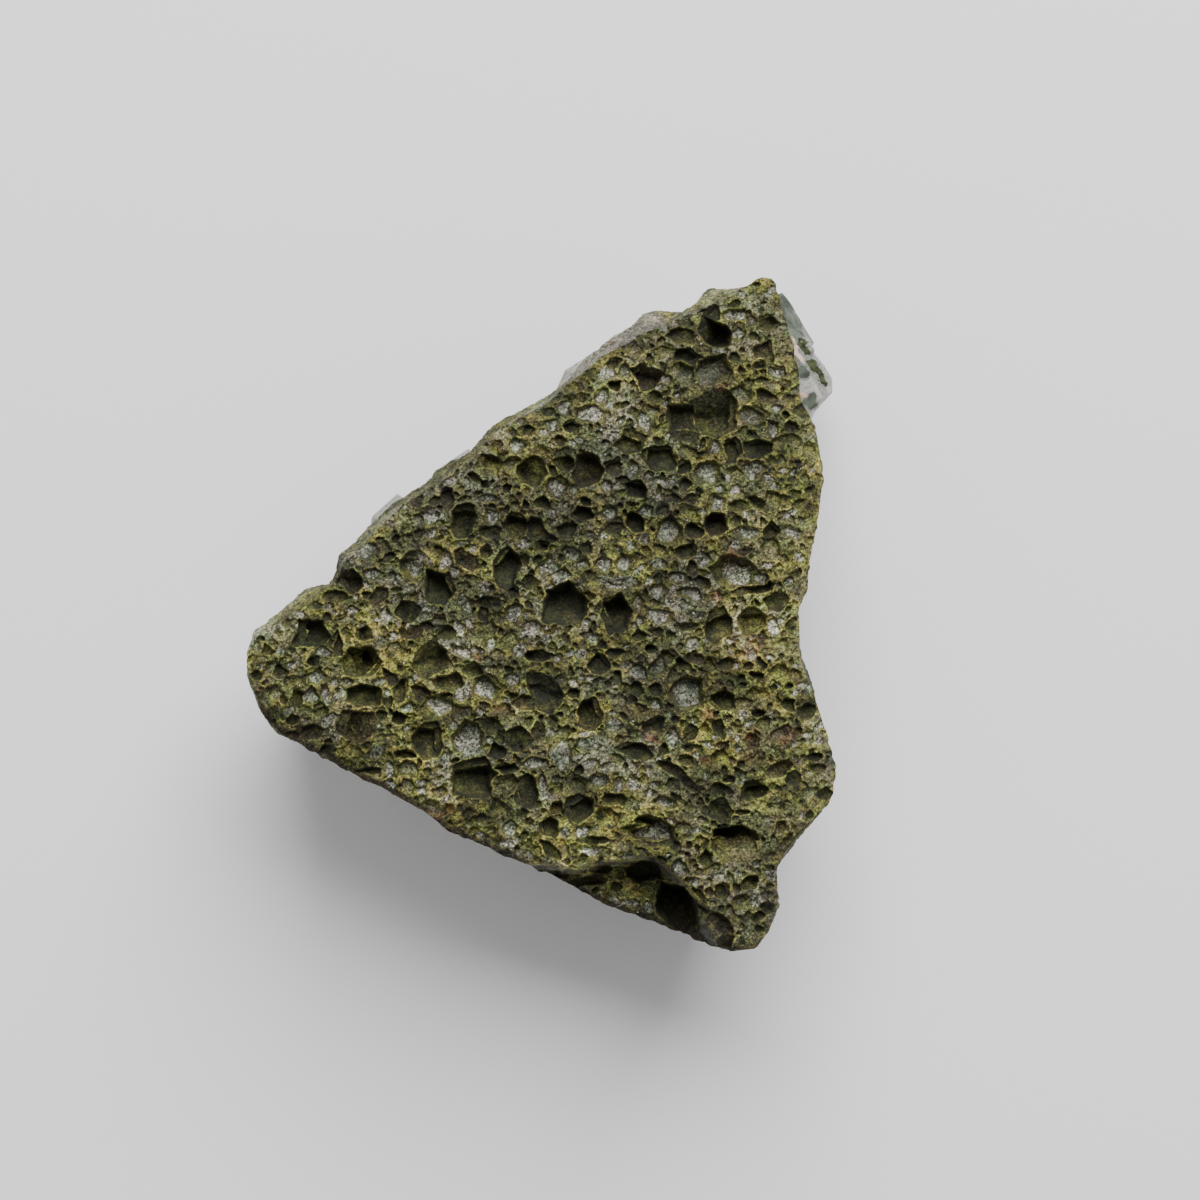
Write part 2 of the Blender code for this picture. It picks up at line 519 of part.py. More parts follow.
def add_broken_side(mesh, corners, edge, middle):
    """Add the slab's side below the face's edge. Returns the corners along its lower end."""
    outward = outward_along(edge)
    kept = spaced_places(edge)
    tops = [corners[k].co.z for k in kept]
    owner = [max(i for i, first in enumerate(kept) if first <= k) for k in range(len(edge))]
    above = None
    for down, flare_share in SIDE_RINGS:
        places = [
            side_place(edge[k], outward[k], middle, top, down, flare_share) for k, top in zip(kept, tops)
        ]
        ring = [mesh.verts.new(place) for place in places]
        if above is None:
            join_rings(mesh, corners, [ring[i] for i in owner])
        else:
            join_rings(mesh, above, ring)
        above = ring
    return above


UNDERSIDE_SPACING = 4.2
UNDERSIDE_REACH = 36.0
UNDERSIDE_MARGIN = 1.08
SAME_POINT = 1e-4


def add_underside(mesh, rim, middle):
    """Close the slab with its rough underside."""
    outline = [Vector(corner.co.xy) for corner in rim]
    count = len(outline)
    inner = []
    steps = int(UNDERSIDE_REACH / UNDERSIDE_SPACING)
    for i in range(-steps, steps + 1):
        for j in range(-steps, steps + 1):
            place = Vector((i + 0.5 * (j % 2), j)) * UNDERSIDE_SPACING
            if inside_face(*((place - middle) / UNDERSIDE_SHARE * UNDERSIDE_MARGIN + middle)):
                inner.append(place)
    sides = [(k, (k + 1) % count) for k in range(count)]
    under, _, faces, sources, *_ = geometry.delaunay_2d_cdt(outline + inner, sides, [], 1, SAME_POINT)
    corners = {}
    for triangle in in_order(under, faces):
        for k in triangle:
            on_rim = [s for s in sources[k] if s < count]
            if on_rim:
                corners[k] = rim[on_rim[0]]
            elif k not in corners:
                corners[k] = mesh.verts.new((*under[k], underside_height(*under[k])))
        mesh.faces.new([corners[k] for k in reversed(triangle)])


def slab_mesh(face):
    """The slab: its pitted face, its broken side and its rough underside, as one closed mesh."""
    mesh = bmesh.new()
    corners, edge = add_pitted_top(mesh, face)
    middle = sum(edge, Vector((0.0, 0.0))) / len(edge)
    rim = add_broken_side(mesh, corners, edge, middle)
    add_underside(mesh, rim, middle)
    bmesh.ops.recalc_face_normals(mesh, faces=mesh.faces)
    bmesh.ops.triangulate(mesh, faces=mesh.faces)
    return mesh


# How far a crystal's tip and shoulder move out when it is grown by a clearance, in clearances, and how
# uneven its shoulder is for its skew.
TIP_GROWTH = 1.6
SHOULDER_GROWTH = 0.6
UNEVEN_SHOULDER = 0.8


def crystal_into(mesh, crystal, grow=0.0):
    """Add one six-sided crystal with a pointed end to a mesh, grown by a clearance if asked."""
    radius = crystal.radius + grow
    shoulder = SHOULDER_GROWTH * grow - crystal.blunt * crystal.radius
    base_ring, shoulder_ring = [], []
    for k in range(6):
        angle = math.radians(60.0 * k)
        x, y = radius * math.cos(angle), (crystal.radius * crystal.slim + grow) * math.sin(angle)
        uneven = UNEVEN_SHOULDER * crystal.skew * crystal.radius * math.cos(angle)
        base_ring.append(Vector((-crystal.length - grow, x, y)))
        shoulder_ring.append(Vector((shoulder + uneven, x, y)))
    tip = Vector((TIP_GROWTH * grow, crystal.skew * crystal.radius, 0.0))
    turn = (
        Matrix.Rotation(math.radians(crystal.heading), 4, "Z")
        @ Matrix.Rotation(math.radians(-crystal.rise), 4, "Y")
        @ Matrix.Rotation(math.radians(crystal.roll), 4, "X")
    )
    place = Matrix.Translation(Vector(crystal.tip)) @ turn
    base = [mesh.verts.new(place @ v) for v in base_ring]
    shoulders = [mesh.verts.new(place @ v) for v in shoulder_ring]
    apex = mesh.verts.new(place @ tip)
    faces = [mesh.faces.new(list(reversed(base)))]
    for k in range(6):
        n = (k + 1) % 6
        faces.append(mesh.faces.new((base[k], base[n], shoulders[n], shoulders[k])))
        faces.append(mesh.faces.new((shoulders[k], shoulders[n], apex)))
    bmesh.ops.recalc_face_normals(mesh, faces=faces)


def new_object(name, mesh, finish):
    """Link a finished mesh, in millimetres, as an object in metres."""
    bmesh.ops.scale(mesh, vec=(MM, MM, MM), verts=mesh.verts)
    data = bpy.data.meshes.new(name)
    mesh.to_mesh(data)
    mesh.free()
    data.materials.append(finish)
    made = bpy.data.objects.new(name, data)
    bpy.context.scene.collection.objects.link(made)
    return made


def helper(obj, group):
    """Keep an object out of the model: it only cuts or joins."""
    obj.hide_render = True
    obj.display_type = "WIRE"
    group.objects.link(obj)
    return obj


def helper_group(name):
    group = bpy.data.collections.new(name)
    bpy.context.scene.collection.children.link(group)
    return group


def fused_crystals(name, crystals, finish, grow=0.0):
    """One solid of crystals that grow through each other."""
    first = bmesh.new()
    crystal_into(first, crystals[0], grow)
    made = new_object(name, first, finish)
    if len(crystals) > 1:
        group = helper_group(name + "_parts")
        for k, crystal in enumerate(crystals[1:]):
            extra = bmesh.new()
            crystal_into(extra, crystal, grow)
            helper(new_object(f"{name}_part_{k}", extra, finish), group)
        union = made.modifiers.new("grown_together", "BOOLEAN")
        union.operation = "UNION"
        union.operand_type = "COLLECTION"
        union.collection = group
    return made


def epidote_matrix(finish, sockets):
    """The slab with its sprays of slender crystals, and a socket for every quartz crystal."""
    slab = new_object("epidote_matrix", slab_mesh(PittedFace()), finish)
    sprays = helper_group("epidote_sprays")
    for k, crystal in enumerate(EPIDOTE_SPRAYS):
        blade = bmesh.new()
        crystal_into(blade, crystal)
        helper(new_object(f"epidote_spray_{k}", blade, finish), sprays)
    union = slab.modifiers.new("sprays", "BOOLEAN")
    union.operation = "UNION"
    union.operand_type = "COLLECTION"
    union.collection = sprays
    for socket in sockets:
        cut_away(slab, socket)
    return slab


def cut_away(obj, cutter):
    """Cut a helper's shape out of an object."""
    cut = obj.modifiers.new("socket", "BOOLEAN")
    cut.operation = "DIFFERENCE"
    cut.object = cutter


def socket_for(name, crystals, finish, group):
    """The room that a quartz crystal or cluster takes in what it grows from."""
    return helper(fused_crystals("socket_" + name, crystals, finish, SOCKET_GAP), group)


def stand_on_origin(nodes):
    """Move the specimen so that the middle of its box's base is the origin."""
    bpy.context.view_layer.update()
    graph = bpy.context.evaluated_depsgraph_get()
    corners = []
    for node in nodes:
        seen = node.evaluated_get(graph)
        corners += [seen.matrix_world @ v.co for v in seen.data.vertices]
    low = Vector(min(c[axis] for c in corners) for axis in range(3))
    high = Vector(max(c[axis] for c in corners) for axis in range(3))
    shift = Vector((-(low.x + high.x) / 2, -(low.y + high.y) / 2, -low.z))
    for obj in bpy.context.scene.objects:
        obj.location += shift


def main():
    clear_scene()
    noise.seed_set(SEED)
    epidote = stone_material("epidote", EPIDOTE_GREEN, 0.5)
    quartz = stone_material("quartz", QUARTZ_CLEAR, 0.08, 0.85)
    rooms = helper_group("quartz_sockets")
    nodes, sockets = [], []
    for name, crystals in QUARTZ_CRYSTALS.items():
        nodes.append(fused_crystals(name, crystals, quartz))
        sockets.append(socket_for(name, crystals, epidote, rooms))
    single = list(sockets)
    for name, cluster in CLUSTERS.items():
        crystals = radiating(cluster)
        made = fused_crystals(name, crystals, quartz)
        for socket in single:
            cut_away(made, socket)
        nodes.append(made)
        sockets.append(socket_for(name, crystals, epidote, rooms))
    nodes.append(epidote_matrix(epidote, sockets))
    stand_on_origin(nodes)


main()
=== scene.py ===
"""Epidote with quartz: a hand specimen at rest on a pale floor, seen from straight above.

The pitted face is a fine sheet whose height is worked out pit by pit, at the places where the specimen has
its pits. The slab's sides and underside are the solid's own, made finer and roughened. Lengths are in
millimetres and face positions are from the middle of the pitted face, +X right, +Y up.
"""

import math
import random
from collections import namedtuple

import bmesh
import bpy
import numpy as np
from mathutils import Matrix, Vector
from mathutils.bvhtree import BVHTree


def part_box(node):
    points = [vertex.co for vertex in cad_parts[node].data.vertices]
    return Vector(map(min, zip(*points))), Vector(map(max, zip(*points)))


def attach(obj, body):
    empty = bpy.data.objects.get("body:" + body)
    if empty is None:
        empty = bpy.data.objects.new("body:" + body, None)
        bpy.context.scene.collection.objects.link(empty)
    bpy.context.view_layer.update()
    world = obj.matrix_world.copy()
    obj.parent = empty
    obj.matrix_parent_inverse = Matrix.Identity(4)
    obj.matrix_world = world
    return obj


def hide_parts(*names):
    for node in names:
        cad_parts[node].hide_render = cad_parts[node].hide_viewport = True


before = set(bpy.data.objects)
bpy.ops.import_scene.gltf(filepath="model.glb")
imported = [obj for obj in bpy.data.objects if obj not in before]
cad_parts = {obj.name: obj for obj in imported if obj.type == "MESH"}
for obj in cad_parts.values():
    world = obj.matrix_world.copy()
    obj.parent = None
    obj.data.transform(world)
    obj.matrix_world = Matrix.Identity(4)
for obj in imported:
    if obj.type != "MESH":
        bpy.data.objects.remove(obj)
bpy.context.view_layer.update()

MM = 0.001

# The place in the frame, on the resting plane, that lies below the middle of the pitted face.
FACE_MIDDLE = np.array((1.1109, 0.024, 0.0))

# The pitted face's edge, clockwise from its top corner: x, y and how far the edge lies below the middle.
FACE_EDGE = (
    (20.3, 32.6, 1.0), (21.5, 32.2, 1.2), (21.9, 30.6, 1.0), (22.2, 29.0, 0.8), (22.9, 27.2, 0.8),
    (23.4, 24.8, 0.8), (23.8, 22.4, 0.9), (24.0, 20.7, 1.2), (24.8, 19.2, 1.6), (25.5, 17.4, 2.0),
    (25.9, 14.9, 2.2), (26.1, 12.8, 2.2), (25.7, 10.0, 2.0), (25.2, 7.0, 1.9), (24.8, 4.2, 1.9),
    (24.5, 2.2, 1.9), (23.9, 0.6, 1.4), (23.8, -2.2, 1.2), (23.9, -4.4, 1.4), (25.0, -7.2, 1.6),
    (26.0, -9.8, 1.8), (26.8, -12.6, 1.8), (27.5, -15.4, 1.8), (27.1, -17.5, 1.8), (25.5, -19.5, 1.6),
    (23.7, -21.2, 1.4), (22.0, -23.3, 1.4), (21.7, -25.0, 1.2), (21.8, -27.4, 1.4), (21.0, -30.3, 1.8),
    (19.5, -32.2, 2.2), (17.3, -32.5, 1.8), (14.4, -31.6, 1.2), (10.4, -29.9, 1.2), (6.8, -28.8, 1.2),
    (3.4, -27.2, 1.2), (0.0, -25.3, 1.2), (-3.0, -23.9, 1.2), (-6.4, -22.4, 1.2), (-10.2, -20.6, 1.2),
    (-12.8, -18.7, 1.2), (-16.0, -16.9, 1.1), (-19.4, -15.2, 1.1), (-21.6, -13.9, 1.2),
    (-24.4, -12.4, 1.4), (-26.4, -11.3, 1.8), (-28.1, -9.2, 2.2), (-29.2, -6.2, 2.4), (-29.4, -3.6, 2.2),
    (-28.4, -1.9, 1.6), (-26.4, -0.6, 1.3), (-23.4, 1.3, 1.2), (-21.2, 2.9, 1.1), (-20.2, 5.0, 1.0),
    (-18.4, 6.5, 1.0), (-16.6, 8.6, 1.1), (-13.6, 11.2, 1.1), (-10.2, 13.2, 1.1), (-8.0, 14.9, 1.2),
    (-5.9, 17.3, 1.2), (-3.4, 18.9, 1.0), (-0.4, 20.5, 1.0), (1.6, 22.2, 1.1), (4.4, 24.6, 1.2),
    (7.4, 26.4, 1.3), (10.4, 27.9, 1.3), (13.2, 28.8, 1.2), (16.0, 30.0, 1.1),
)

# The face's height without pits, its swell and the swell's length, and how fast its droop at the edge fades.
FACE_HEIGHT = 25.0
FACE_SWELL = 0.7
SWELL_WAVELENGTH = 13.0
EDGE_FADE = 1.7

# The stretches where the face steps down: outline, drop and the width of the step.
Ledge = namedtuple("Ledge", "outline drop width")
LEDGES = (
    Ledge(
        (
            (-3.6, -24.4), (-0.7, -23.9), (2.2, -24.6), (4.6, -23.8), (9.9, -23.3), (12.4, -25.5),
            (13.6, -27.2), (14.9, -30.2), (17.0, -34.0), (0.0, -36.0),
        ),
        drop=4.6,
        width=0.55,
    ),
    Ledge(
        ((23.6, -8.4), (23.2, -12.0), (24.1, -14.6), (25.2, -18.4), (30.0, -20.0), (30.0, -6.0)),
        drop=1.0,
        width=0.7,
    ),
)

# What fills or lines a pit: how grey and granular, how dark and how brown its floor is, its depth as a
# share of its half-width, and how often a pit of the filling has it.
Tone = namedtuple("Tone", "grey dark brown depth often")
TONES = {
    "grey": Tone(1.0, 0.0, 0.0, 0.75, 0.26),
    "sage": Tone(0.45, 0.45, 0.0, 0.75, 0.22),
    "olive": Tone(0.0, 0.15, 0.0, 0.85, 0.22),
    "dark": Tone(0.0, 0.9, 0.0, 1.05, 0.18),
    "brown": Tone(0.0, 0.45, 1.0, 1.0, 0.07),
    # The black pits are the deepest, and their floors are the darkest: partly the stone's own colour, partly
    # painted shade.
    "black": Tone(0.0, 1.0, 0.3, 1.7, 0.05),
}

# The pits that show well, by tone: x, y, half-width, half-height, then its turn and depth if they matter.
NOTABLE_PITS = {
    # Black pits: deep pits whose darkest floors are partly their own colour, partly painted shade.
    "black": (
        (15.4, 27.2, 1.9, 1.2, -25, 3.6), (12.9, 24.9, 1.1, 0.7), (6.0, 22.1, 0.65, 0.5),
        (1.8, 18.1, 0.9, 0.55), (20.1, 24.1, 0.9, 0.4), (20.2, 22.6, 0.8, 0.3), (22.5, 19.2, 0.4, 0.4),
        (19.5, 18.4, 1.0, 0.3), (18.4, 23.6, 0.4, 0.3), (1.1, 14.6, 1.0, 0.8), (3.0, 9.6, 0.9, 0.7),
        (8.0, 12.0, 1.2, 0.8, -30), (8.0, 8.9, 1.2, 0.9, -30), (-6.5, 6.1, 0.55, 0.6),
        (-2.6, 5.3, 0.5, 0.6), (-6.1, 1.0, 1.25, 0.5), (6.2, 0.1, 1.5, 1.8, 0, 2.4),
        (-4.3, 12.2, 0.5, 0.4), (-6.5, 12.7, 0.5, 0.4), (-10.8, 7.4, 0.5, 0.3), (-5.7, 10.3, 0.4, 0.3),
        (19.3, 2.4, 2.2, 0.4, 8, 0.9), (20.9, 2.9, 0.4, 0.3), (23.8, 4.2, 0.25, 0.4),
        (12.6, -4.7, 1.0, 0.5, -25), (19.6, -5.8, 0.7, 0.5), (18.3, -6.8, 0.4, 0.3),
        (19.9, -9.5, 0.6, 0.5), (22.8, -6.9, 0.4, 0.3), (15.9, -9.6, 0.35, 0.3), (17.0, -15.8, 0.75, 0.4),
        (25.2, -13.8, 0.7, 0.4), (19.6, -16.8, 1.4, 1.0, 0, 2.0), (8.8, -24.8, 1.5, 1.1, 0, 1.5),
        (12.0, -28.0, 2.5, 1.9, -40, 3.6), (6.2, -26.3, 0.6, 0.4), (-1.3, -3.9, 1.3, 0.6),
        (-3.6, -4.5, 0.4, 0.3), (-10.2, -8.0, 0.8, 0.5), (-9.5, -14.0, 0.5, 0.25), (-4.4, -14.9, 1.1, 0.6),
        (0.5, -18.5, 0.6, 0.6), (3.9, -21.7, 1.7, 0.45), (-20.6, -3.0, 0.5, 1.1), (-18.0, -1.9, 0.9, 0.7),
        (-14.7, -9.9, 0.9, 0.7), (-21.5, -12.1, 0.4, 0.3), (-19.4, -12.4, 0.8, 0.4),
        (-14.1, -13.5, 1.0, 0.55), (-17.6, -15.0, 1.3, 0.4), (-16.6, 7.3, 0.4, 0.3),
        (-15.0, 7.3, 0.45, 0.35), (-14.0, 9.3, 0.5, 0.2), (19.8, 31.9, 0.4, 0.3), (2.1, -7.5, 0.6, 0.5),
        (12.0, 9.6, 0.5, 0.35), (9.4, -19.9, 1.6, 0.55, -8, 2.4), (17.6, -21.1, 2.1, 0.7, 0, 2.6),
        (17.9, 4.9, 1.3, 0.6, -8, 2.2), (-17.8, -4.1, 0.9, 1.0, 0, 3.4), (-22.9, -1.2, 0.8, 0.6, 0, 2.0),
    ),
    "dark": (
        (15.3, 19.6, 2.4, 2.6, 0, 2.8), (12.8, 18.6, 1.5, 1.8), (12.5, 26.8, 1.3, 0.9),
        (9.8, 20.8, 0.8, 0.7), (2.5, 20.9, 1.2, 0.6), (-0.4, 19.5, 0.7, 0.4), (7.7, 19.5, 0.6, 0.4),
        (7.4, 18.3, 0.5, 0.3), (7.6, 16.5, 1.7, 1.1), (10.3, 15.1, 1.9, 1.3), (22.3, 22.5, 0.9, 0.3),
        (-2.0, 13.8, 1.5, 1.5, 0, 2.1), (-8.6, 9.1, 1.4, 1.6, 0, 1.8), (-6.0, 7.9, 1.0, 0.7),
        (-3.6, 8.6, 1.2, 1.3, 0, 1.9), (-1.6, 8.2, 1.1, 1.1), (1.4, 8.2, 1.0, 0.8),
        (-4.5, 4.5, 1.5, 1.8, 0, 1.7), (-1.4, 5.4, 0.5, 0.4), (-2.0, 3.1, 0.9, 0.8),
        (-1.4, 2.4, 0.35, 0.35), (-10.7, 2.6, 1.3, 1.5, 0, 1.9), (1.0, 0.7, 2.2, 2.0, 0, 2.2),
        (8.3, -1.9, 0.6, 0.6), (-10.2, -1.8, 1.1, 0.7), (5.9, 14.1, 0.8, 0.9), (6.8, 13.1, 0.6, 0.4),
        (-2.2, 17.6, 0.8, 0.6), (-1.1, 15.9, 1.2, 0.5), (-12.8, 8.0, 0.75, 0.6), (18.3, 17.7, 0.45, 0.4),
        (17.5, 15.9, 0.9, 1.1), (19.9, 16.1, 1.4, 1.1), (14.6, 15.5, 0.5, 0.3), (12.7, 14.2, 0.8, 0.8),
        (12.8, 12.6, 0.7, 0.6), (18.1, 10.5, 1.2, 0.6), (13.7, 8.2, 0.9, 0.8), (12.9, 6.1, 1.3, 0.8),
        (14.4, 3.2, 0.7, 0.6), (16.1, -1.0, 1.3, 1.8, 0, 1.9), (19.3, -0.6, 1.3, 1.4),
        (22.9, -1.1, 0.6, 0.7), (13.2, -1.1, 1.1, 0.5), (10.0, -1.6, 0.7, 0.5), (11.2, -2.0, 0.5, 0.5),
        (21.5, 1.4, 1.2, 0.8), (15.2, -4.6, 0.75, 0.6), (8.2, -7.1, 0.65, 0.65),
        (16.5, -8.2, 1.4, 0.95, 0, 1.6), (22.8, -8.7, 0.65, 0.75), (24.4, -9.2, 0.95, 0.8),
        (9.6, -10.5, 1.1, 0.9), (13.3, -11.3, 0.75, 0.75), (16.1, -10.9, 0.65, 0.8),
        (17.8, -10.7, 0.5, 0.55), (13.1, -12.6, 0.75, 0.5), (13.0, -14.0, 0.8, 0.6),
        (8.0, -13.1, 2.0, 0.8, -12), (23.1, -15.7, 0.8, 0.6), (25.5, -14.8, 1.0, 0.4),
        (26.4, -17.2, 1.0, 0.6), (16.3, -18.8, 1.3, 1.0), (18.3, -19.0, 0.6, 0.35),
        (12.0, -22.3, 0.5, 0.6), (16.5, -26.6, 0.8, 0.7), (19.9, -30.2, 0.6, 0.4), (4.6, -4.8, 1.1, 1.0),
        (6.1, -3.6, 0.9, 0.5), (6.2, -6.2, 0.6, 0.8), (-9.9, -6.5, 1.4, 1.05),
        (-0.6, -7.5, 1.6, 1.7, 0, 1.3), (3.5, -9.6, 1.3, 1.7, 0, 1.5), (-6.2, -10.6, 1.4, 0.8),
        (-5.3, -13.2, 0.9, 0.9), (-3.1, -12.0, 1.25, 1.15), (-4.9, -11.6, 0.6, 0.7),
        (-7.6, -15.7, 2.1, 1.9, 0, 2.1), (-2.5, -17.0, 1.1, 1.6), (-0.2, -20.4, 1.0, 1.0),
        (2.5, -18.6, 1.3, 1.5), (0.0, -22.6, 1.3, 0.5, -35), (-2.6, -21.3, 0.45, 0.5),
        (-7.0, -19.5, 1.0, 0.35), (5.8, -17.7, 1.3, 0.7), (-20.7, 1.8, 1.2, 0.6), (-22.8, 0.9, 0.8, 0.4),
        (-21.8, -0.2, 0.6, 0.4), (-23.0, -1.8, 1.6, 1.3, 0, 1.8), (-14.3, -1.7, 0.5, 0.6),
        (-13.9, 0.2, 1.1, 1.0), (-18.5, -4.6, 1.7, 1.4, 0, 2.4), (-11.8, -4.2, 1.9, 1.8, 0, 2.0),
        (-24.4, -8.1, 0.75, 0.85), (-18.2, -7.8, 1.8, 1.1, 0, 1.5), (-14.4, -5.2, 0.5, 0.4),
        (-14.6, -7.5, 0.8, 1.1), (-12.0, -12.1, 1.6, 1.9, 0, 1.7), (-11.9, -14.9, 0.5, 0.4),
        (-25.2, -3.2, 0.5, 0.4), (-25.5, -0.7, 0.4, 0.4), (-14.1, 8.3, 0.5, 0.4), (-16.2, 5.1, 0.7, 0.3),
        (-15.0, 2.3, 0.5, 0.3), (-17.9, 2.0, 0.5, 0.4),
    ),
    "brown": (
        (9.1, 23.0, 1.35, 1.3, 0, 2.1), (3.3, 14.0, 1.5, 1.7, 0, 2.2), (-8.4, 5.4, 1.2, 0.9, -35),
        (23.1, 18.0, 0.8, 0.7), (20.7, 20.9, 1.1, 0.7, -30), (22.8, 21.1, 0.8, 0.5, -25),
        (15.7, 8.7, 1.3, 1.2, 0, 1.7), (11.5, 11.3, 1.0, 0.5, -20), (18.7, 6.2, 0.8, 0.5),
        (21.7, -14.8, 1.4, 0.7, 15), (12.6, -15.6, 3.0, 0.5, -33, 0.8), (16.2, -12.6, 0.7, 0.5),
        (11.4, -8.9, 0.5, 0.5), (-8.5, -9.2, 0.9, 0.6), (0.3, -15.5, 0.5, 0.35),
        (14.0, -27.2, 1.2, 0.7, -30), (16.2, -29.8, 1.7, 0.8, -40, 1.0), (3.3, -25.8, 1.9, 0.6, 8, 0.8),
        (-19.4, 3.3, 1.3, 1.2, 0, 2.0), (-18.9, -10.7, 1.9, 1.5, 0, 2.0), (-23.4, -11.2, 1.3, 0.7),
        (-15.5, -6.2, 0.5, 1.0, 40), (-12.4, -7.5, 1.3, 0.9, -30), (17.3, -14.1, 0.4, 0.4),
    ),
    "grey": (
        (16.0, 25.6, 1.0, 0.5), (4.7, 20.9, 0.8, 1.1), (3.5, 19.2, 1.4, 0.9), (-0.1, 18.3, 0.9, 0.6),
        (9.0, 18.5, 1.4, 0.8, -35), (17.6, 28.8, 1.4, 0.8), (17.9, 27.1, 0.8, 0.9), (21.7, 23.5, 0.9, 0.8),
        (0.6, 12.2, 1.2, 1.1), (2.2, 11.8, 0.6, 0.6), (1.4, 10.4, 0.4, 0.5), (-6.2, 11.2, 1.2, 0.5),
        (-11.5, 9.7, 1.1, 0.7), (-5.8, 9.5, 0.7, 0.9), (7.7, 14.1, 0.6, 0.7), (9.0, 10.0, 0.85, 0.7),
        (4.8, 7.6, 0.5, 0.6), (2.8, 4.9, 0.9, 0.75), (4.9, 4.8, 1.2, 0.8), (7.1, 5.0, 1.0, 1.0),
        (-10.2, 5.3, 0.65, 1.0), (-2.6, 6.9, 0.5, 0.5), (-0.3, 4.4, 1.2, 0.8), (0.9, 3.5, 1.1, 0.8),
        (6.2, 3.0, 2.2, 0.9, 0, 0.6), (-8.4, 0.9, 0.8, 1.2, 35, 0.6), (-6.5, 2.5, 1.0, 0.6),
        (-3.9, 0.1, 0.9, 1.0), (-1.9, -1.3, 1.0, 0.8, 0, 0.5), (15.1, 13.6, 1.5, 1.1, 0, 0.8),
        (17.0, 13.1, 0.4, 0.6), (10.8, 12.8, 1.1, 0.4), (19.3, 14.0, 1.0, 0.9, 0, 0.6),
        (20.9, 13.9, 0.6, 0.4), (21.0, 13.1, 0.8, 0.6), (15.7, 10.9, 0.9, 1.1), (14.4, 10.1, 0.4, 0.3),
        (11.3, 8.1, 1.3, 1.5, 0, 1.0), (18.8, 8.0, 1.4, 0.8), (17.4, 4.1, 2.2, 1.5, 0, 1.8),
        (20.7, 4.8, 0.7, 0.5), (9.2, 3.3, 0.5, 0.5), (12.1, 3.6, 1.2, 0.7), (13.2, 2.0, 1.2, 0.7),
        (10.4, 2.2, 0.9, 0.7), (10.5, -0.2, 1.3, 0.9), (14.0, 0.1, 0.6, 0.5), (21.2, -0.9, 0.6, 1.0),
        (12.9, -7.8, 1.7, 1.6, 0, 1.3), (18.6, -9.4, 0.6, 0.5), (23.3, -7.5, 0.6, 0.4),
        (19.0, -10.4, 0.7, 0.5), (11.5, -11.6, 0.6, 1.0), (14.9, -12.5, 1.0, 0.4, -30),
        (10.4, -13.7, 0.4, 0.4), (18.6, -15.9, 0.8, 0.4), (9.6, -20.9, 2.1, 1.2, 0, 2.0),
        (19.4, -27.8, 0.8, 0.9), (2.9, -3.9, 0.7, 0.6), (0.5, -4.3, 0.5, 0.4), (-8.5, -7.6, 0.9, 1.1),
        (-6.1, -7.2, 1.5, 1.3, -20, 1.1), (-11.0, -9.0, 1.5, 1.3, 0, 1.1), (-3.9, -6.2, 0.9, 0.7),
        (-8.0, -12.0, 1.5, 1.8, 0, 1.4), (-10.3, -13.6, 0.4, 1.0, -20), (-1.5, -14.4, 1.1, 0.6),
        (-1.0, -16.5, 0.5, 1.3), (0.9, -13.6, 1.3, 1.2, -40, 0.7), (3.0, -20.9, 0.9, 0.6, 15),
        (1.2, -21.0, 0.5, 0.5), (4.0, -22.7, 1.2, 0.6), (-4.4, -21.9, 0.7, 0.6), (-8.9, -20.6, 0.6, 0.4),
        (4.3, -15.9, 1.1, 0.7), (6.0, -10.7, 1.0, 0.7, 30), (3.5, -12.5, 1.3, 0.7, 0, 0.5),
        (0.0, -11.3, 0.6, 0.5), (-24.4, -1.0, 0.5, 0.5), (-15.3, -2.0, 0.6, 0.6), (-10.1, -2.9, 0.4, 0.4),
        (-22.6, -5.8, 1.15, 0.8), (-20.9, -6.4, 0.6, 0.5), (-23.1, -7.8, 0.7, 0.8),
        (-21.9, -7.8, 0.5, 0.7), (-21.8, -10.4, 0.5, 0.6), (-17.0, -13.3, 1.0, 0.8),
        (-15.6, -14.9, 0.5, 0.8), (-12.5, -16.8, 0.6, 0.5), (-25.1, -4.9, 0.5, 0.6),
        (-13.2, 4.5, 1.7, 1.5, 0, 1.5), (-17.8, 6.1, 1.2, 0.9), (-17.2, 3.9, 0.8, 0.6),
        (-15.2, 3.6, 0.6, 0.6), (-12.6, 1.7, 0.4, 0.9), (-21.6, 0.7, 0.6, 0.5), (-8.2, 13.0, 0.4, 0.3),
    ),
    "sage": (
        (15.5, 23.5, 1.9, 1.6, 0, 1.4), (12.8, 23.1, 1.3, 1.1), (9.6, 19.5, 1.0, 0.8),
        (18.2, 21.2, 1.1, 1.1, 0, 0.6), (19.3, 19.1, 1.8, 0.8, 0, 0.8), (-13.9, -15.0, 1.2, 0.9),
        (-15.2, -3.2, 0.7, 0.7),
    ),
    "olive": (
        (2.1, 22.0, 0.9, 0.5), (-6.0, 14.3, 1.3, 1.0, 0, 1.4), (13.1, 15.8, 0.9, 0.5),
        (22.9, 16.3, 0.9, 1.5), (21.3, 10.8, 0.7, 1.0), (21.0, 6.5, 1.0, 1.2), (14.6, -6.2, 0.7, 0.9),
        (19.9, -7.5, 1.2, 0.8), (14.7, -11.2, 0.7, 0.7), (17.6, -22.4, 2.3, 1.5, 0, 1.9),
        (19.2, -25.7, 0.9, 0.8, 0, 1.4), (2.3, -16.1, 1.0, 0.9), (-5.3, -18.4, 1.2, 0.7, -25),
        (-4.5, -16.4, 1.1, 1.0), (-1.5, -21.2, 0.5, 0.5), (-19.4, -13.2, 1.2, 0.8), (-13.4, 1.6, 0.6, 0.5),
        (21.8, 16.8, 0.7, 0.7), (-6.6, -1.5, 1.3, 0.8), (5.5, -19.6, 1.4, 1.0, 0, 0.6),
    ),
}

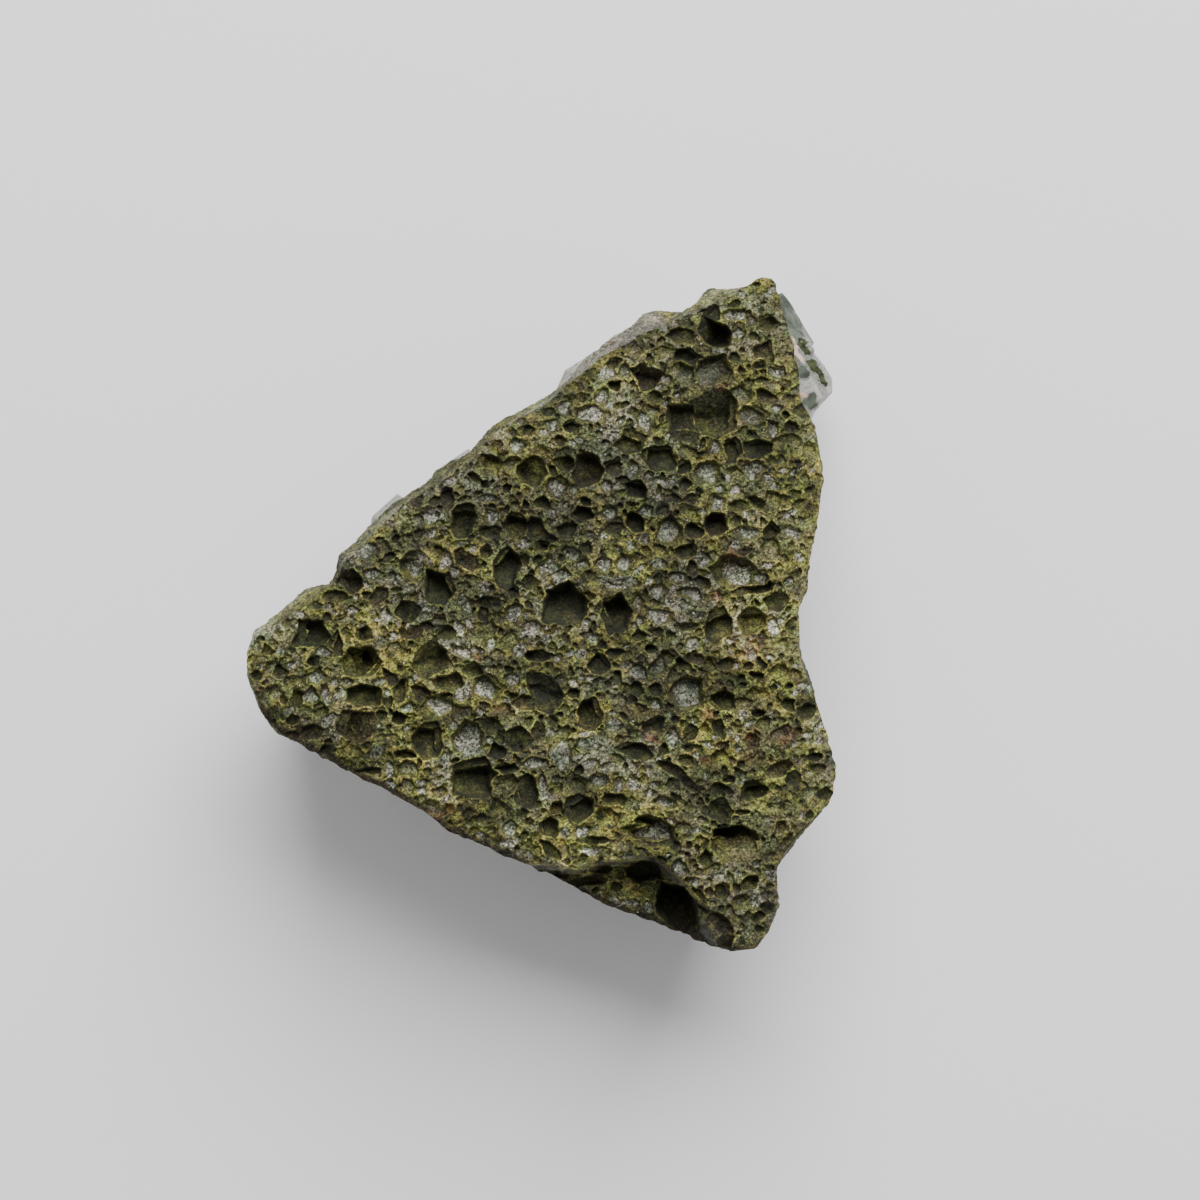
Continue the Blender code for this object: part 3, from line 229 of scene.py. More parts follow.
# Granular stretches with hardly a pit: x, y, half-width, half-height, turn.
GRANULAR = (
    (23.8, 6.0, 1.6, 8.5, 0), (19.6, -12.6, 3.0, 1.9, 0), (10.8, -17.5, 3.0, 1.7, -25),
    (14.2, -24.2, 2.2, 1.6, 0), (21.9, -18.9, 2.6, 1.7, 35), (18.3, 26.2, 1.3, 2.4, 0),
    (20.0, 30.6, 1.5, 1.2, 0), (6.5, 25.4, 4.0, 0.7, 33), (24.6, 14.6, 1.0, 3.0, 0),
    (18.0, -30.6, 1.8, 1.2, 0), (-4.6, 16.6, 2.6, 0.7, 45),
)
GRANULAR_KEPT_PLAIN = 0.8

# Smaller pits that fill what is left of the face, and the pores of its ridges.
FILL_TRIES = 12000
FILL_RADIUS = (0.32, 0.95)
FILL_CROWDING = 0.62
FILL_MARGIN = 0.3
PORE_COUNT = 2800
PORE_RADIUS = (0.13, 0.38)

# The spots of orange-red stain: x, y, reach, strength.
STAINS = (
    (-7.3, -4.1, 0.35, 1.0), (18.4, -2.9, 1.2, 0.6), (19.6, -3.4, 0.7, 0.9), (22.4, -11.6, 0.8, 0.7),
    (15.0, -9.5, 0.6, 0.9), (14.6, -14.0, 0.35, 1.0), (18.8, -11.6, 0.8, 0.6), (18.8, -13.4, 0.7, 0.5),
    (-9.8, -18.7, 0.6, 0.8), (-10.8, -19.0, 0.5, 0.8), (17.3, 5.5, 0.8, 0.8), (15.9, 1.8, 0.5, 0.9),
    (16.3, 22.1, 0.4, 0.7), (9.6, -11.9, 0.7, 0.7), (-4.9, -8.9, 0.6, 0.5), (0.9, -17.4, 0.4, 0.6),
)

# Broad stretches where the stone is paler or darker, partly its own tone and partly painted light and shade
# from the lighting and the face's form: x, y, half-width, half-height, doublings of lightness.
BROAD_TONE_AND_LIGHT = (
    (14.0, 21.0, 5.5, 4.5, -1.0), (-6.5, 12.5, 5.5, 4.0, -0.7), (1.0, 10.5, 11.0, 5.0, -0.35),
    (5.5, -3.0, 4.5, 4.0, -0.85), (10.5, 1.5, 5.0, 4.0, -0.45), (23.5, 11.0, 4.0, 8.0, 0.75),
    (18.5, 29.0, 4.0, 4.0, 0.75), (20.5, -6.5, 5.0, 5.5, 0.5), (-24.5, -5.5, 4.0, 8.0, 0.6),
    (-1.5, -10.5, 4.5, 4.0, 0.6), (-8.0, -19.5, 6.5, 4.0, 0.5), (19.0, -24.0, 4.5, 6.0, -0.45),
    (15.0, -30.0, 4.0, 3.0, -0.6), (4.5, -23.5, 5.0, 3.0, 0.4), (5.5, 24.5, 3.0, 2.5, 0.4),
)

# The fine grid over the face, the coarse one for its slow changes, and where pits are tried.
SPACING = 0.095
COARSE_SPACING = 0.4
FACE_ACROSS = (-30.0, 28.0)
FACE_ALONG = (-33.0, 33.0)
SHEET_LABELS = ("lower", "middle", "upper")


# Repeatable noise
SHUFFLES = (0x9E3779B97F4A7C15, 0xBF58476D1CE4E5B9, 0x94D049BB133111EB)


def scatter(seed, *cells):
    """A repeatable value from 0 to 1 for each whole-numbered cell."""
    mixed = np.full(np.shape(cells[0]), seed * 7919 + 1, dtype=np.uint64)
    for shuffle, cell in zip(SHUFFLES, cells):
        mixed = (mixed + cell.astype(np.int64).astype(np.uint64)) * np.uint64(shuffle)
        mixed ^= mixed >> np.uint64(31)
    return (mixed >> np.uint64(11)).astype(float) / 2.0**53


def smooth_noise(seed, *places):
    """Gentle noise from -1 to 1, at places in units of its own wavelength."""
    cells = [np.floor(place).astype(np.int64) for place in places]
    eased = [eased_step(place - cell, 0.0, 1.0) for place, cell in zip(places, cells)]
    total = 0.0
    for corner in range(2 ** len(places)):
        weight, here = 1.0, []
        for axis, cell in enumerate(cells):
            far = corner >> axis & 1
            weight = weight * (eased[axis] if far else 1.0 - eased[axis])
            here.append(cell + far)
        total = total + weight * scatter(seed, *here)
    return 2.0 * total - 1.0


def rugged_noise(seed, wavelength, octaves, *places):
    """Several sizes of gentle noise added up, from about -1 to 1."""
    total, share = 0.0, 0.5
    for octave in range(octaves):
        scaled = [place / wavelength for place in places]
        total = total + share * smooth_noise(seed + octave, *scaled)
        wavelength, share = 0.5 * wavelength, 0.55 * share
    return total


def grains(seed, size, *places):
    """Packed grains of one size: how far each place is from its grain's middle, and the grain's value."""
    scaled = [place / size for place in places]
    cells = [np.floor(place).astype(np.int64) for place in scaled]
    nearest = np.full(np.shape(scaled[0]), np.inf)
    value = np.zeros(np.shape(scaled[0]))
    for step in np.ndindex(*(3,) * len(places)):
        here = [cell + offset - 1 for cell, offset in zip(cells, step)]
        away = 0.0
        for axis, cell in enumerate(here):
            away = away + (cell + scatter(seed + 11 * axis, *here) - scaled[axis]) ** 2
        closer = away < nearest
        nearest = np.where(closer, away, nearest)
        value = np.where(closer, scatter(seed + 77, *here), value)
    return np.sqrt(nearest), value


def eased_step(value, low, high):
    """A value taken smoothly from 0 at a low mark to 1 at a high one."""
    part = np.clip((value - low) / (high - low), 0.0, 1.0)
    return part * part * (3.0 - 2.0 * part)


# Rings, ovals and the pits' shapes
EDGE_STEP = 0.2
EDGE_WOBBLE = 0.4
EDGE_INSET = 0.06


def outward_from(ring, reach):
    """The outward direction at each point of a clockwise ring, seen over some points to each side."""
    along = np.roll(ring, -reach, axis=0) - np.roll(ring, reach, axis=0)
    outward = np.stack((-along[:, 1], along[:, 0]), axis=1)
    return outward / np.linalg.norm(outward, axis=1)[:, None]


def roughened_edge():
    """The face's edge as a fine closed run of points, half rounded and slightly crenulated."""
    coarse = np.array([row[:2] for row in FACE_EDGE])
    fine = []
    for k, a in enumerate(coarse):
        b = coarse[(k + 1) % len(coarse)]
        before, after = coarse[k - 1], coarse[(k + 2) % len(coarse)]
        steps = max(2, int(np.hypot(*(b - a)) / EDGE_STEP))
        for step in range(steps):
            t = step / steps
            bend = 0.5 * (
                2.0 * a
                + (b - before) * t
                + (2.0 * before - 5.0 * a + 4.0 * b - after) * t**2
                + (3.0 * a - before - 3.0 * b + after) * t**3
            )
            fine.append(0.5 * bend + 0.5 * (a + (b - a) * t))
    fine = np.array(fine)
    wobble = EDGE_WOBBLE * rugged_noise(5, 1.3, 3, fine[:, 0], fine[:, 1]) - EDGE_INSET
    return fine + outward_from(fine, 2) * wobble[:, None]


def nearest_on_ring(ring, points):
    """The nearest place of a closed run of points to each of some points, and how far it is."""
    runs = np.roll(ring, -1, axis=0) - ring
    best = np.full(len(points), np.inf)
    place = np.zeros((len(points), 2))
    for start, run, length in zip(ring, runs, (runs**2).sum(1)):
        share = np.clip(((points - start) @ run) / length, 0.0, 1.0)
        here = start + share[:, None] * run
        away = np.linalg.norm(points - here, axis=1)
        closer = away < best
        best = np.where(closer, away, best)
        place[closer] = here[closer]
    return place, best


def within_ring(ring, points):
    """True for each point inside a closed run of points."""
    inside = np.zeros(len(points), bool)
    for (ax, ay), (bx, by) in zip(ring, np.roll(ring, -1, axis=0)):
        if ay == by:
            continue
        crossing = (ay > points[:, 1]) != (by > points[:, 1])
        x = ax + (points[:, 1] - ay) * (bx - ax) / (by - ay)
        inside ^= crossing & (points[:, 0] < x)
    return inside


def turned(x, y, degrees):
    """Places as seen along axes that are turned by some degrees."""
    cos, sin = np.cos(np.radians(degrees)), np.sin(np.radians(degrees))
    return cos * x + sin * y, cos * y - sin * x


def within_ovals(ovals, x, y, grown=0.0):
    """True where a place is in one of the ovals, given as rows of x, y, half-width, half-height and turn."""
    u, v = turned(x - ovals[0], y - ovals[1], ovals[4])
    return (np.hypot(u / (ovals[2] + grown), v / (ovals[3] + grown)) < 1.0).any()


def at_grid(values, low, spacing, x, y):
    """Values known on a grid, blended at any places."""
    u, v = (x - low[0]) / spacing, (y - low[1]) / spacing
    i = np.clip(np.floor(v).astype(int), 0, values.shape[0] - 2)
    j = np.clip(np.floor(u).astype(int), 0, values.shape[1] - 2)
    u, v = u - j, v - i
    upper = values[i + 1, j] * (1 - u) + values[i + 1, j + 1] * u
    lower = values[i, j] * (1 - u) + values[i, j + 1] * u
    return lower * (1 - v) + upper * v


Pit = namedtuple("Pit", "x y wide high turn depth tone")


def notable_pit(tone, x, y, wide, high, turn=0.0, depth=None):
    return Pit(x, y, wide, high, turn, depth or TONES[tone].depth * min(wide, high), tone)


# A pit's floor leans and may have a second facet. Its walls may have a terrace each.
FACET_CHANCE = 0.45
TERRACE_CHANCE = 0.16
WALL_COUNT = (5, 9)
LEAST_STEEPNESS = 2.0
UPPER_STEEPNESS = 1.9


def pit_surface(pit, dx, dy, dice):
    """A pit's floor, and its whole surface: the floor with walls and terraces round it."""
    u, v = turned(dx, dy, pit.turn)
    u, v = u / pit.wide, v / pit.high
    size = math.sqrt(pit.wide * pit.high)
    fall, lean = dice.uniform(0.15, 0.65), dice.uniform(-0.3, 0.3)
    floor = -pit.depth * (1.0 + (fall * dy + lean * dx) / size)
    if dice.random() < FACET_CHANCE:
        bearing = dice.uniform(0.0, math.tau)
        across = u * math.cos(bearing) + v * math.sin(bearing)
        facet = pit.depth * (dice.uniform(0.5, 1.1) * across - dice.uniform(0.7, 1.0))
        floor = np.maximum(floor, facet)
    surface = floor
    walls = dice.randint(*WALL_COUNT)
    start = dice.uniform(0.0, math.tau)
    for wall in range(walls):
        bearing = start + (wall + dice.uniform(-0.3, 0.3)) * math.tau / walls
        rim = dice.uniform(0.86, 1.14)
        upward = math.sin(bearing + math.radians(pit.turn))
        steep = pit.depth * max(LEAST_STEEPNESS, dice.uniform(2.6, 4.8) + UPPER_STEEPNESS * upward)
        toward = u * math.cos(bearing) + v * math.sin(bearing)
        surface = np.maximum(surface, steep * (toward - rim))
        if dice.random() < TERRACE_CHANCE:
            inner = rim * dice.uniform(0.45, 0.75)
            tread = -pit.depth * dice.uniform(0.3, 0.6)
            surface = np.maximum(surface, np.minimum(tread, 6.0 * pit.depth * (toward - inner) - 0.2))
    return floor, surface


# The relief of the pitted face: each height in millimetres, then its wavelength.
UNEVENNESS = (0.30, 3.4)
PIT_WARP = (0.40, 2.0)
SMALL_UNEVENNESS = (0.12, 0.8)
CREST_RELIEF = (0.16, 0.42)
GRAIN_WIDTH = 0.27
GRAIN_RELIEF = 0.17
GREY_GRAIN_RELIEF = 0.06

# The broken brown strip along the lower left edge: its line's slope, and between which y it starts.
LOWER_LEFT_SLOPE = 0.503
LOWER_LEFT_START = (-22.0, -23.2)


class FaceGrid:
    """The fine grid over the face, and everything that is worked out on it."""

    def __init__(self):
        self.edge = roughened_edge()
        margin = 4 * SPACING
        self.low = self.edge.min(0) - margin
        high = self.edge.max(0) + margin
        columns, rows = np.ceil((high - self.low) / SPACING).astype(int)
        self.xs = self.low[0] + SPACING * np.arange(columns)
        self.ys = self.low[1] + SPACING * np.arange(rows)
        self.x, self.y = np.meshgrid(self.xs, self.ys)
        self.inside = self.scan_inside()
        self.away, self.skin, self.scarp = self.edge_and_skin()
        self.pits = self.all_pits()
        self.hollow, self.owner, self.on_floor = self.dig_pits()
        self.tones = self.mix_tones()
        self.height, self.tones["ridge"] = self.finish_height()

    def at(self, field, x, y):
        """A field's value at any places."""
        return at_grid(field, self.low, SPACING, x, y)

    def scan_inside(self):
        """True for each grid point inside the edge, row by row."""
        inside = np.zeros(self.x.shape, bool)
        ends = np.roll(self.edge, -1, axis=0)
        for row, y in enumerate(self.ys):
            crossed = (self.edge[:, 1] > y) != (ends[:, 1] > y)
            a, b = self.edge[crossed], ends[crossed]
            where = np.sort(a[:, 0] + (y - a[:, 1]) * (b[:, 0] - a[:, 0]) / (b[:, 1] - a[:, 1]))
            inside[row] = np.searchsorted(where, self.xs) % 2 == 1
        return inside

    def edge_and_skin(self):
        """The distance to the edge, the height of the face without its pits, and the ledges' scarps."""
        xs = np.arange(self.low[0], self.xs[-1] + COARSE_SPACING, COARSE_SPACING)
        ys = np.arange(self.low[1], self.ys[-1] + COARSE_SPACING, COARSE_SPACING)
        x, y = np.meshgrid(xs, ys)
        points = np.stack((x.ravel(), y.ravel()), axis=1)
        corners = np.array([row[:2] for row in FACE_EDGE])
        drops = np.array([row[2] for row in FACE_EDGE])
        place, away = nearest_on_ring(corners, points)
        near = np.linalg.norm(place[:, None, :] - corners[None, :, :], axis=2)
        weight = 1.0 / (near**2 + 0.05)
        drop = (weight * drops).sum(1) / weight.sum(1)
        away[~within_ring(corners, points)] *= -1.0
        swell = rugged_noise(13, SWELL_WAVELENGTH, 1, points[:, 0], points[:, 1])
        skin = FACE_HEIGHT + FACE_SWELL * swell - drop * np.exp(-np.maximum(away, 0.0) / EDGE_FADE)
        scarp = np.zeros(len(points))
        for ledge in LEDGES:
            line = np.array(ledge.outline)
            reach = nearest_on_ring(line, points)[1]
            reach[~within_ring(line, points)] = 0.0
            share = np.minimum(1.0, reach / ledge.width)
            skin -= ledge.drop * share
            scarp = np.maximum(scarp, np.sin(math.pi * share) * min(1.0, ledge.drop / 3.0))
        fields = [
            at_grid(field.reshape(x.shape), self.low, COARSE_SPACING, self.x, self.y)
            for field in (away, skin, scarp)
        ]
        height, wavelength = UNEVENNESS
        fields[1] += height * rugged_noise(17, wavelength, 3, self.x, self.y)
        return fields

    def all_pits(self):
        """The notable pits, the pits that fill the rest of the face, and the pores of its ridges."""
        dice = random.Random(41)
        pits = [notable_pit(tone, *row) for tone, rows in NOTABLE_PITS.items() for row in rows]
        self.fill_face(pits, dice)
        for _ in range(PORE_COUNT):
            x, y = dice.uniform(*FACE_ACROSS), dice.uniform(*FACE_ALONG)
            radius = dice.uniform(*PORE_RADIUS)
            # Some pores take the black tone, whose darkest floors are partly painted shade.
            tone = dice.choice(("olive", "dark", "sage", "black"))
            pits.append(Pit(
                x, y, radius, radius * dice.uniform(0.6, 1.1), dice.uniform(-90.0, 90.0),
                radius * dice.uniform(0.6, 1.5), tone,
            ))
        return pits

    def fill_face(self, pits, dice):
        """Add pits wherever the ones that the face has leave room."""
        taken = np.array([pit[:5] for pit in pits]).T
        plain = np.array(GRANULAR).T
        shares = [tone.often for tone in TONES.values()]
        for _ in range(FILL_TRIES):
            x, y = dice.uniform(*FACE_ACROSS), dice.uniform(*FACE_ALONG)
            small = dice.random() ** 1.6
            radius = FILL_RADIUS[0] + (FILL_RADIUS[1] - FILL_RADIUS[0]) * small
            if self.at(self.away, np.array(x), np.array(y)) < FILL_MARGIN:
                continue
            if within_ovals(taken, x, y, FILL_CROWDING * radius):
                continue
            if within_ovals(plain, x, y) and dice.random() < GRANULAR_KEPT_PLAIN:
                continue
            tone = dice.choices(list(TONES), shares)[0]
            stretch = dice.uniform(0.75, 1.35)
            pits.append(Pit(
                x, y, radius * stretch, radius / stretch, dice.uniform(-40.0, 40.0),
                TONES[tone].depth * radius * dice.uniform(0.6, 1.15), tone,
            ))
            taken = np.append(taken, np.array([pits[-1][:5]]).T, axis=1)

    def dig_pits(self):
        """How far each grid point is hollowed, the number of the pit that does it, and where its floor is."""
        dice = random.Random(57)
        warp, wavelength = PIT_WARP
        warp_x = warp * rugged_noise(21, wavelength, 4, self.x, self.y)
        warp_y = warp * rugged_noise(31, wavelength, 4, self.x, self.y)
        hollow = np.zeros(self.x.shape)
        owner = np.full(self.x.shape, -1)
        on_floor = np.zeros(self.x.shape)
        for number, pit in enumerate(self.pits):
            reach = 1.35 * max(pit.wide, pit.high) + 0.7
            left, right = np.searchsorted(self.xs, (pit.x - reach, pit.x + reach))
            down, up = np.searchsorted(self.ys, (pit.y - reach, pit.y + reach))
            part = (slice(down, up), slice(left, right))
            dx = self.x[part] + warp_x[part] - pit.x
            dy = self.y[part] + warp_y[part] - pit.y
            floor, surface = pit_surface(pit, dx, dy, dice)
            deeper = surface < hollow[part]
            hollow[part] = np.where(deeper, surface, hollow[part])
            owner[part] = np.where(deeper, number, owner[part])
            on_floor[part] = np.where(deeper, surface <= floor + 1e-6, on_floor[part])
        return hollow, owner, on_floor

    def mix_tones(self):
        """How grey, dark and brown each place of the face is; the pits' walls are darkened as painted shade.
        """
        dice = np.random.default_rng(71)
        table = np.array([TONES[pit.tone][:3] for pit in self.pits] + [(0.0, 0.0, 0.0)])
        table[:-1] *= dice.uniform(0.65, 1.0, (len(self.pits), 1))
        fields = {}
        for k, name in enumerate(("grey", "dark", "brown")):
            floor = table[self.owner, k]
            # Every pit wall is at least this dark: painted shade on the pits' walls.
            wall = {"grey": 0.15 * floor, "dark": np.maximum(floor, 0.45), "brown": floor}[name]
            field = np.where(self.on_floor > 0.5, floor, wall)
            field[self.owner < 0] = 0.0
            fields[name] = self.blurred(field, 0.07)
        flat = np.clip(1.0 + self.hollow / 0.25, 0.0, 1.0)
        broad = rugged_noise(43, 7.0, 3, self.x, self.y)
        fields["grey"] += flat * np.clip(0.05 + 1.1 * broad, 0.0, 0.4)
        lower_left = eased_step(self.y + LOWER_LEFT_SLOPE * self.x, *LOWER_LEFT_START)
        lower_left *= eased_step(self.away, 0.9, 0.2)
        fields["brown"] = np.maximum(fields["brown"], np.maximum(self.scarp, lower_left))
        fields["dark"] = np.maximum(fields["dark"], 0.5 * self.scarp)
        return fields

    def blurred(self, field, reach):
        """A field smoothed over a reach."""
        across = np.fft.rfftfreq(field.shape[1], d=SPACING)
        down = np.fft.fftfreq(field.shape[0], d=SPACING)[:, None]
        kept = np.exp(-2.0 * (math.pi * reach) ** 2 * (across**2 + down**2))
        return np.fft.irfft2(np.fft.rfft2(field) * kept, field.shape)

    def lowest_near(self, steps):
        """The lowest height within some grid steps of each place."""
        lowest = self.height
        for axis in (0, 1):
            around = [np.roll(lowest, shift, axis) for shift in range(-steps, steps + 1)]
            lowest = np.min(around, axis=0)
        return lowest

    def finish_height(self):
        """The face's height with its ridges, grains and small roughness, and how much is a ridge's crest."""
        fade = 1.0 - 0.6 * np.exp(-np.maximum(self.away, 0.0) / 0.5)
        height = self.skin + fade * self.hollow
        broad = height - self.blurred(height, 0.55)
        fine = height - self.blurred(height, 0.11)
        crest = eased_step(fine, 0.015, 0.075) * eased_step(broad, -0.02, 0.28)
        crest *= 0.3 + 0.7 * eased_step(rugged_noise(67, 1.7, 3, self.x, self.y), -0.25, 0.3)
        rough = 1.0 - 0.5 * np.clip(self.tones["dark"], 0.0, 1.0)
        relief, wavelength = CREST_RELIEF
        height += relief * crest * (0.4 + rugged_noise(61, wavelength, 2, self.x, self.y))
        away, value = grains(3, GRAIN_WIDTH, self.x, self.y)
        grey = np.clip(self.tones["grey"], 0.0, 1.0)
        coarse = GRAIN_RELIEF + (GREY_GRAIN_RELIEF - GRAIN_RELIEF) * grey
        height += rough * coarse * (value - 0.5 - 0.6 * away)
        relief, wavelength = SMALL_UNEVENNESS
        height += relief * rough * rugged_noise(71, wavelength, 3, self.x, self.y)
        return height, crest


# Meshes
def placed(name, data):
    """A new object of the scene."""
    made = bpy.data.objects.new(name, data)
    bpy.context.scene.collection.objects.link(made)
    return made


def piece(name, points, faces, material, smooth=True):
    """A piece of the stone from its points in millimetres and its faces."""
    data = bpy.data.meshes.new(name)
    data.from_pydata((points + FACE_MIDDLE) * MM, [], faces)
    data.materials.append(material)
    if smooth:
        data.shade_smooth()
    made = placed(name, data)
    return made


def give(made, name, values):
    """Store one value per point under a name that the material reads."""
    made.data.attributes.new(name, "FLOAT", "POINT").data.foreach_set("value", values.astype(np.float32))


def vectors_of(vertices, name):
    """One vector for each vertex."""
    values = np.zeros(len(vertices) * 3)
    vertices.foreach_get(name, values)
    return values.reshape(-1, 3)


def stain(x, y):
    """How strongly each place is stained."""
    strength = np.zeros(x.shape)
    for sx, sy, reach, most in STAINS:
        here = most * np.exp(-((x - sx) ** 2 + (y - sy) ** 2) / reach**2)
        strength = np.maximum(strength, here)
    return strength


def broad_tone_and_light(x, y):
    """How many doublings paler each place is than the rest of the stone, partly its own tone and partly
    painted light and shade.
    """
    shade = np.zeros(x.shape)
    for sx, sy, wide, high, doublings in BROAD_TONE_AND_LIGHT:
        shade += doublings * np.exp(-(((x - sx) / wide) ** 2) - ((y - sy) / high) ** 2)
    return shade


def face_squares(grid):
    """The grid's squares that touch the face, with the points outside its edge moved onto the edge."""
    inside = grid.inside
    rows, columns = inside.shape
    touched = inside[:-1, :-1] | inside[1:, :-1] | inside[:-1, 1:] | inside[1:, 1:]
    number = np.arange(rows * columns).reshape(rows, columns)
    corners = (number[:-1, :-1], number[:-1, 1:], number[1:, 1:], number[1:, :-1])
    squares = np.stack([corner[touched] for corner in corners], axis=1)
    used = np.unique(squares)
    x, y = grid.x.ravel()[used].copy(), grid.y.ravel()[used].copy()
    outside = ~inside.ravel()[used]
    place, _ = nearest_on_ring(grid.edge, np.stack((x[outside], y[outside]), axis=1))
    x[outside], y[outside] = place[:, 0], place[:, 1]
    renumber = np.full(rows * columns, -1)
    renumber[used] = np.arange(len(used))
    return np.stack((x, y, grid.at(grid.height, x, y)), axis=1), renumber[squares]


def cut_squares(points, squares):
    """Triangles of squares that are cut along their flatter diagonals, and each triangle's direction."""
    diagonal = np.abs(points[squares[:, 0], 2] - points[squares[:, 2], 2])
    other = np.abs(points[squares[:, 1], 2] - points[squares[:, 3], 2])
    first = diagonal <= other
    triangles = np.concatenate((
        squares[first][:, (0, 1, 2)], squares[first][:, (0, 2, 3)],
        squares[~first][:, (0, 1, 3)], squares[~first][:, (1, 2, 3)],
    ))
    corners = points[triangles]
    across = np.cross(corners[:, 1] - corners[:, 0], corners[:, 2] - corners[:, 0])
    keep = np.linalg.norm(across, axis=1) > 1e-9
    return triangles[keep], across[keep]


def face_sheets(grid, finish):
    """The pitted face as fine sheets that share their seams."""
    points, squares = face_squares(grid)
    triangles, across = cut_squares(points, squares)
    normals = np.zeros(points.shape)
    for corner in range(3):
        np.add.at(normals, triangles[:, corner], across)
    normals /= np.linalg.norm(normals, axis=1)[:, None] + 1e-12

    middle = points[triangles].mean(1)[:, 1]
    cuts = np.quantile(middle, np.linspace(0.0, 1.0, len(SHEET_LABELS) + 1))
    cuts[-1] += 1.0
    sheets = []
    for k, label in enumerate(SHEET_LABELS):
        own = triangles[(middle >= cuts[k]) & (middle < cuts[k + 1])]
        kept = np.unique(own)
        back = np.full(len(points), -1)
        back[kept] = np.arange(len(kept))
        made = piece(f"epidote_face_{label}", points[kept], back[own], finish)
        made.data.normals_split_custom_set_from_vertices(normals[kept])
        x, y = points[kept, 0], points[kept, 1]
        for name, field in grid.tones.items():
            give(made, name, grid.at(field, x, y))
        give(made, "stain", stain(x, y))
        give(made, "pale", broad_tone_and_light(x, y))
        sheets.append(made)
    return sheets


# The rows of the strip below the face's edge: how far in, and how far down.
SKIRT = ((0.12, 0.6), (0.3, 1.8), (0.7, 4.0))
SKIRT_TONES = {"grey": 0.2, "dark": 0.4, "brown": 0.1, "ridge": 0.0, "stain": 0.0}


def rim_skirt(grid, finish):
    """The strip of stone that runs down from the face's edge, inside the slab's side."""
    ring = grid.edge
    outward = outward_from(ring, 3)
    top = grid.at(grid.height, ring[:, 0], ring[:, 1])
    rows = [np.column_stack((ring, top))]
    for inset, drop in SKIRT:
        rough = 0.3 * min(drop, 1.0) * rugged_noise(131, 0.8, 3, ring[:, 0] + drop, ring[:, 1] - drop)
        rows.append(np.column_stack((ring - outward * (inset + rough)[:, None], top - drop)))
    count = len(ring)
    here = np.arange(count)
    beside = (here + 1) % count
    strip = np.stack((here, beside, beside + count, here + count), axis=1)
    faces = np.concatenate([strip + row * count for row in range(len(SKIRT))])
    points = np.concatenate(rows)
    made = piece("epidote_rim", points, faces, finish)
    for name, value in SKIRT_TONES.items():
        give(made, name, np.full(len(points), value))
    give(made, "pale", broad_tone_and_light(points[:, 0], points[:, 1]))
    return made


def solid_copy(node):
    """A CAD node's surface as one welded mesh, in metres."""
    mesh = bmesh.new()
    mesh.from_mesh(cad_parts[node].data)
    bmesh.ops.remove_doubles(mesh, verts=mesh.verts, dist=1e-6)
    return mesh


# The slab's side stands out below the face's upper left edge: where it starts, its direction, how far.
SIDE_FROM = (1.2, 22.0)
SIDE_ALONG = (0.875, 0.485)
SIDE_SWELL = 0.75
PINK_SIDE = 0.14

SLAB_DETAIL = 0.3
TOP_OF_SIDES = 17.0
SEAT_REACH = 0.75
SEAT_GAP = 0.03


def fine_slab():
    """The solid slab's surface as fine squares: its points, faces and normals."""
    mesh = solid_copy("epidote_matrix")
    data = bpy.data.meshes.new("slab")
    mesh.to_mesh(data)
    mesh.free()
    slab = placed("slab", data)
    remesh = slab.modifiers.new("finer", "REMESH")
    remesh.mode = "VOXEL"
    remesh.voxel_size = SLAB_DETAIL * MM
    graph = bpy.context.evaluated_depsgraph_get()
    fine = bpy.data.meshes.new_from_object(slab.evaluated_get(graph))
    bpy.data.objects.remove(slab)
    points = vectors_of(fine.vertices, "co") / MM - FACE_MIDDLE
    faces = np.array([face.vertices[:] for face in fine.polygons if len(face.vertices) == 4])
    normals = vectors_of(fine.vertices, "normal")
    bpy.data.meshes.remove(fine)
    return points, faces, normals


def seat_quartz(points, quartz_nodes):
    """Move the slab's points near the quartz onto it. Gives 0 for each moved point and 1 for the others."""
    free = np.ones(len(points))
    for node in quartz_nodes:
        solid = solid_copy(node)
        tree = BVHTree.FromBMesh(solid)
        low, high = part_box(node)
        low, high = np.array(low) / MM - FACE_MIDDLE, np.array(high) / MM - FACE_MIDDLE
        near = ((points > low - 0.9) & (points < high + 0.9)).all(axis=1)
        for k in np.nonzero(near)[0]:
            hit, normal, _, gap = tree.find_nearest(Vector((points[k] + FACE_MIDDLE) * MM))
            if gap < SEAT_REACH * MM:
                points[k] = np.array(hit + SEAT_GAP * MM * normal) / MM - FACE_MIDDLE
                free[k] = 0.0
        solid.free()
    return free


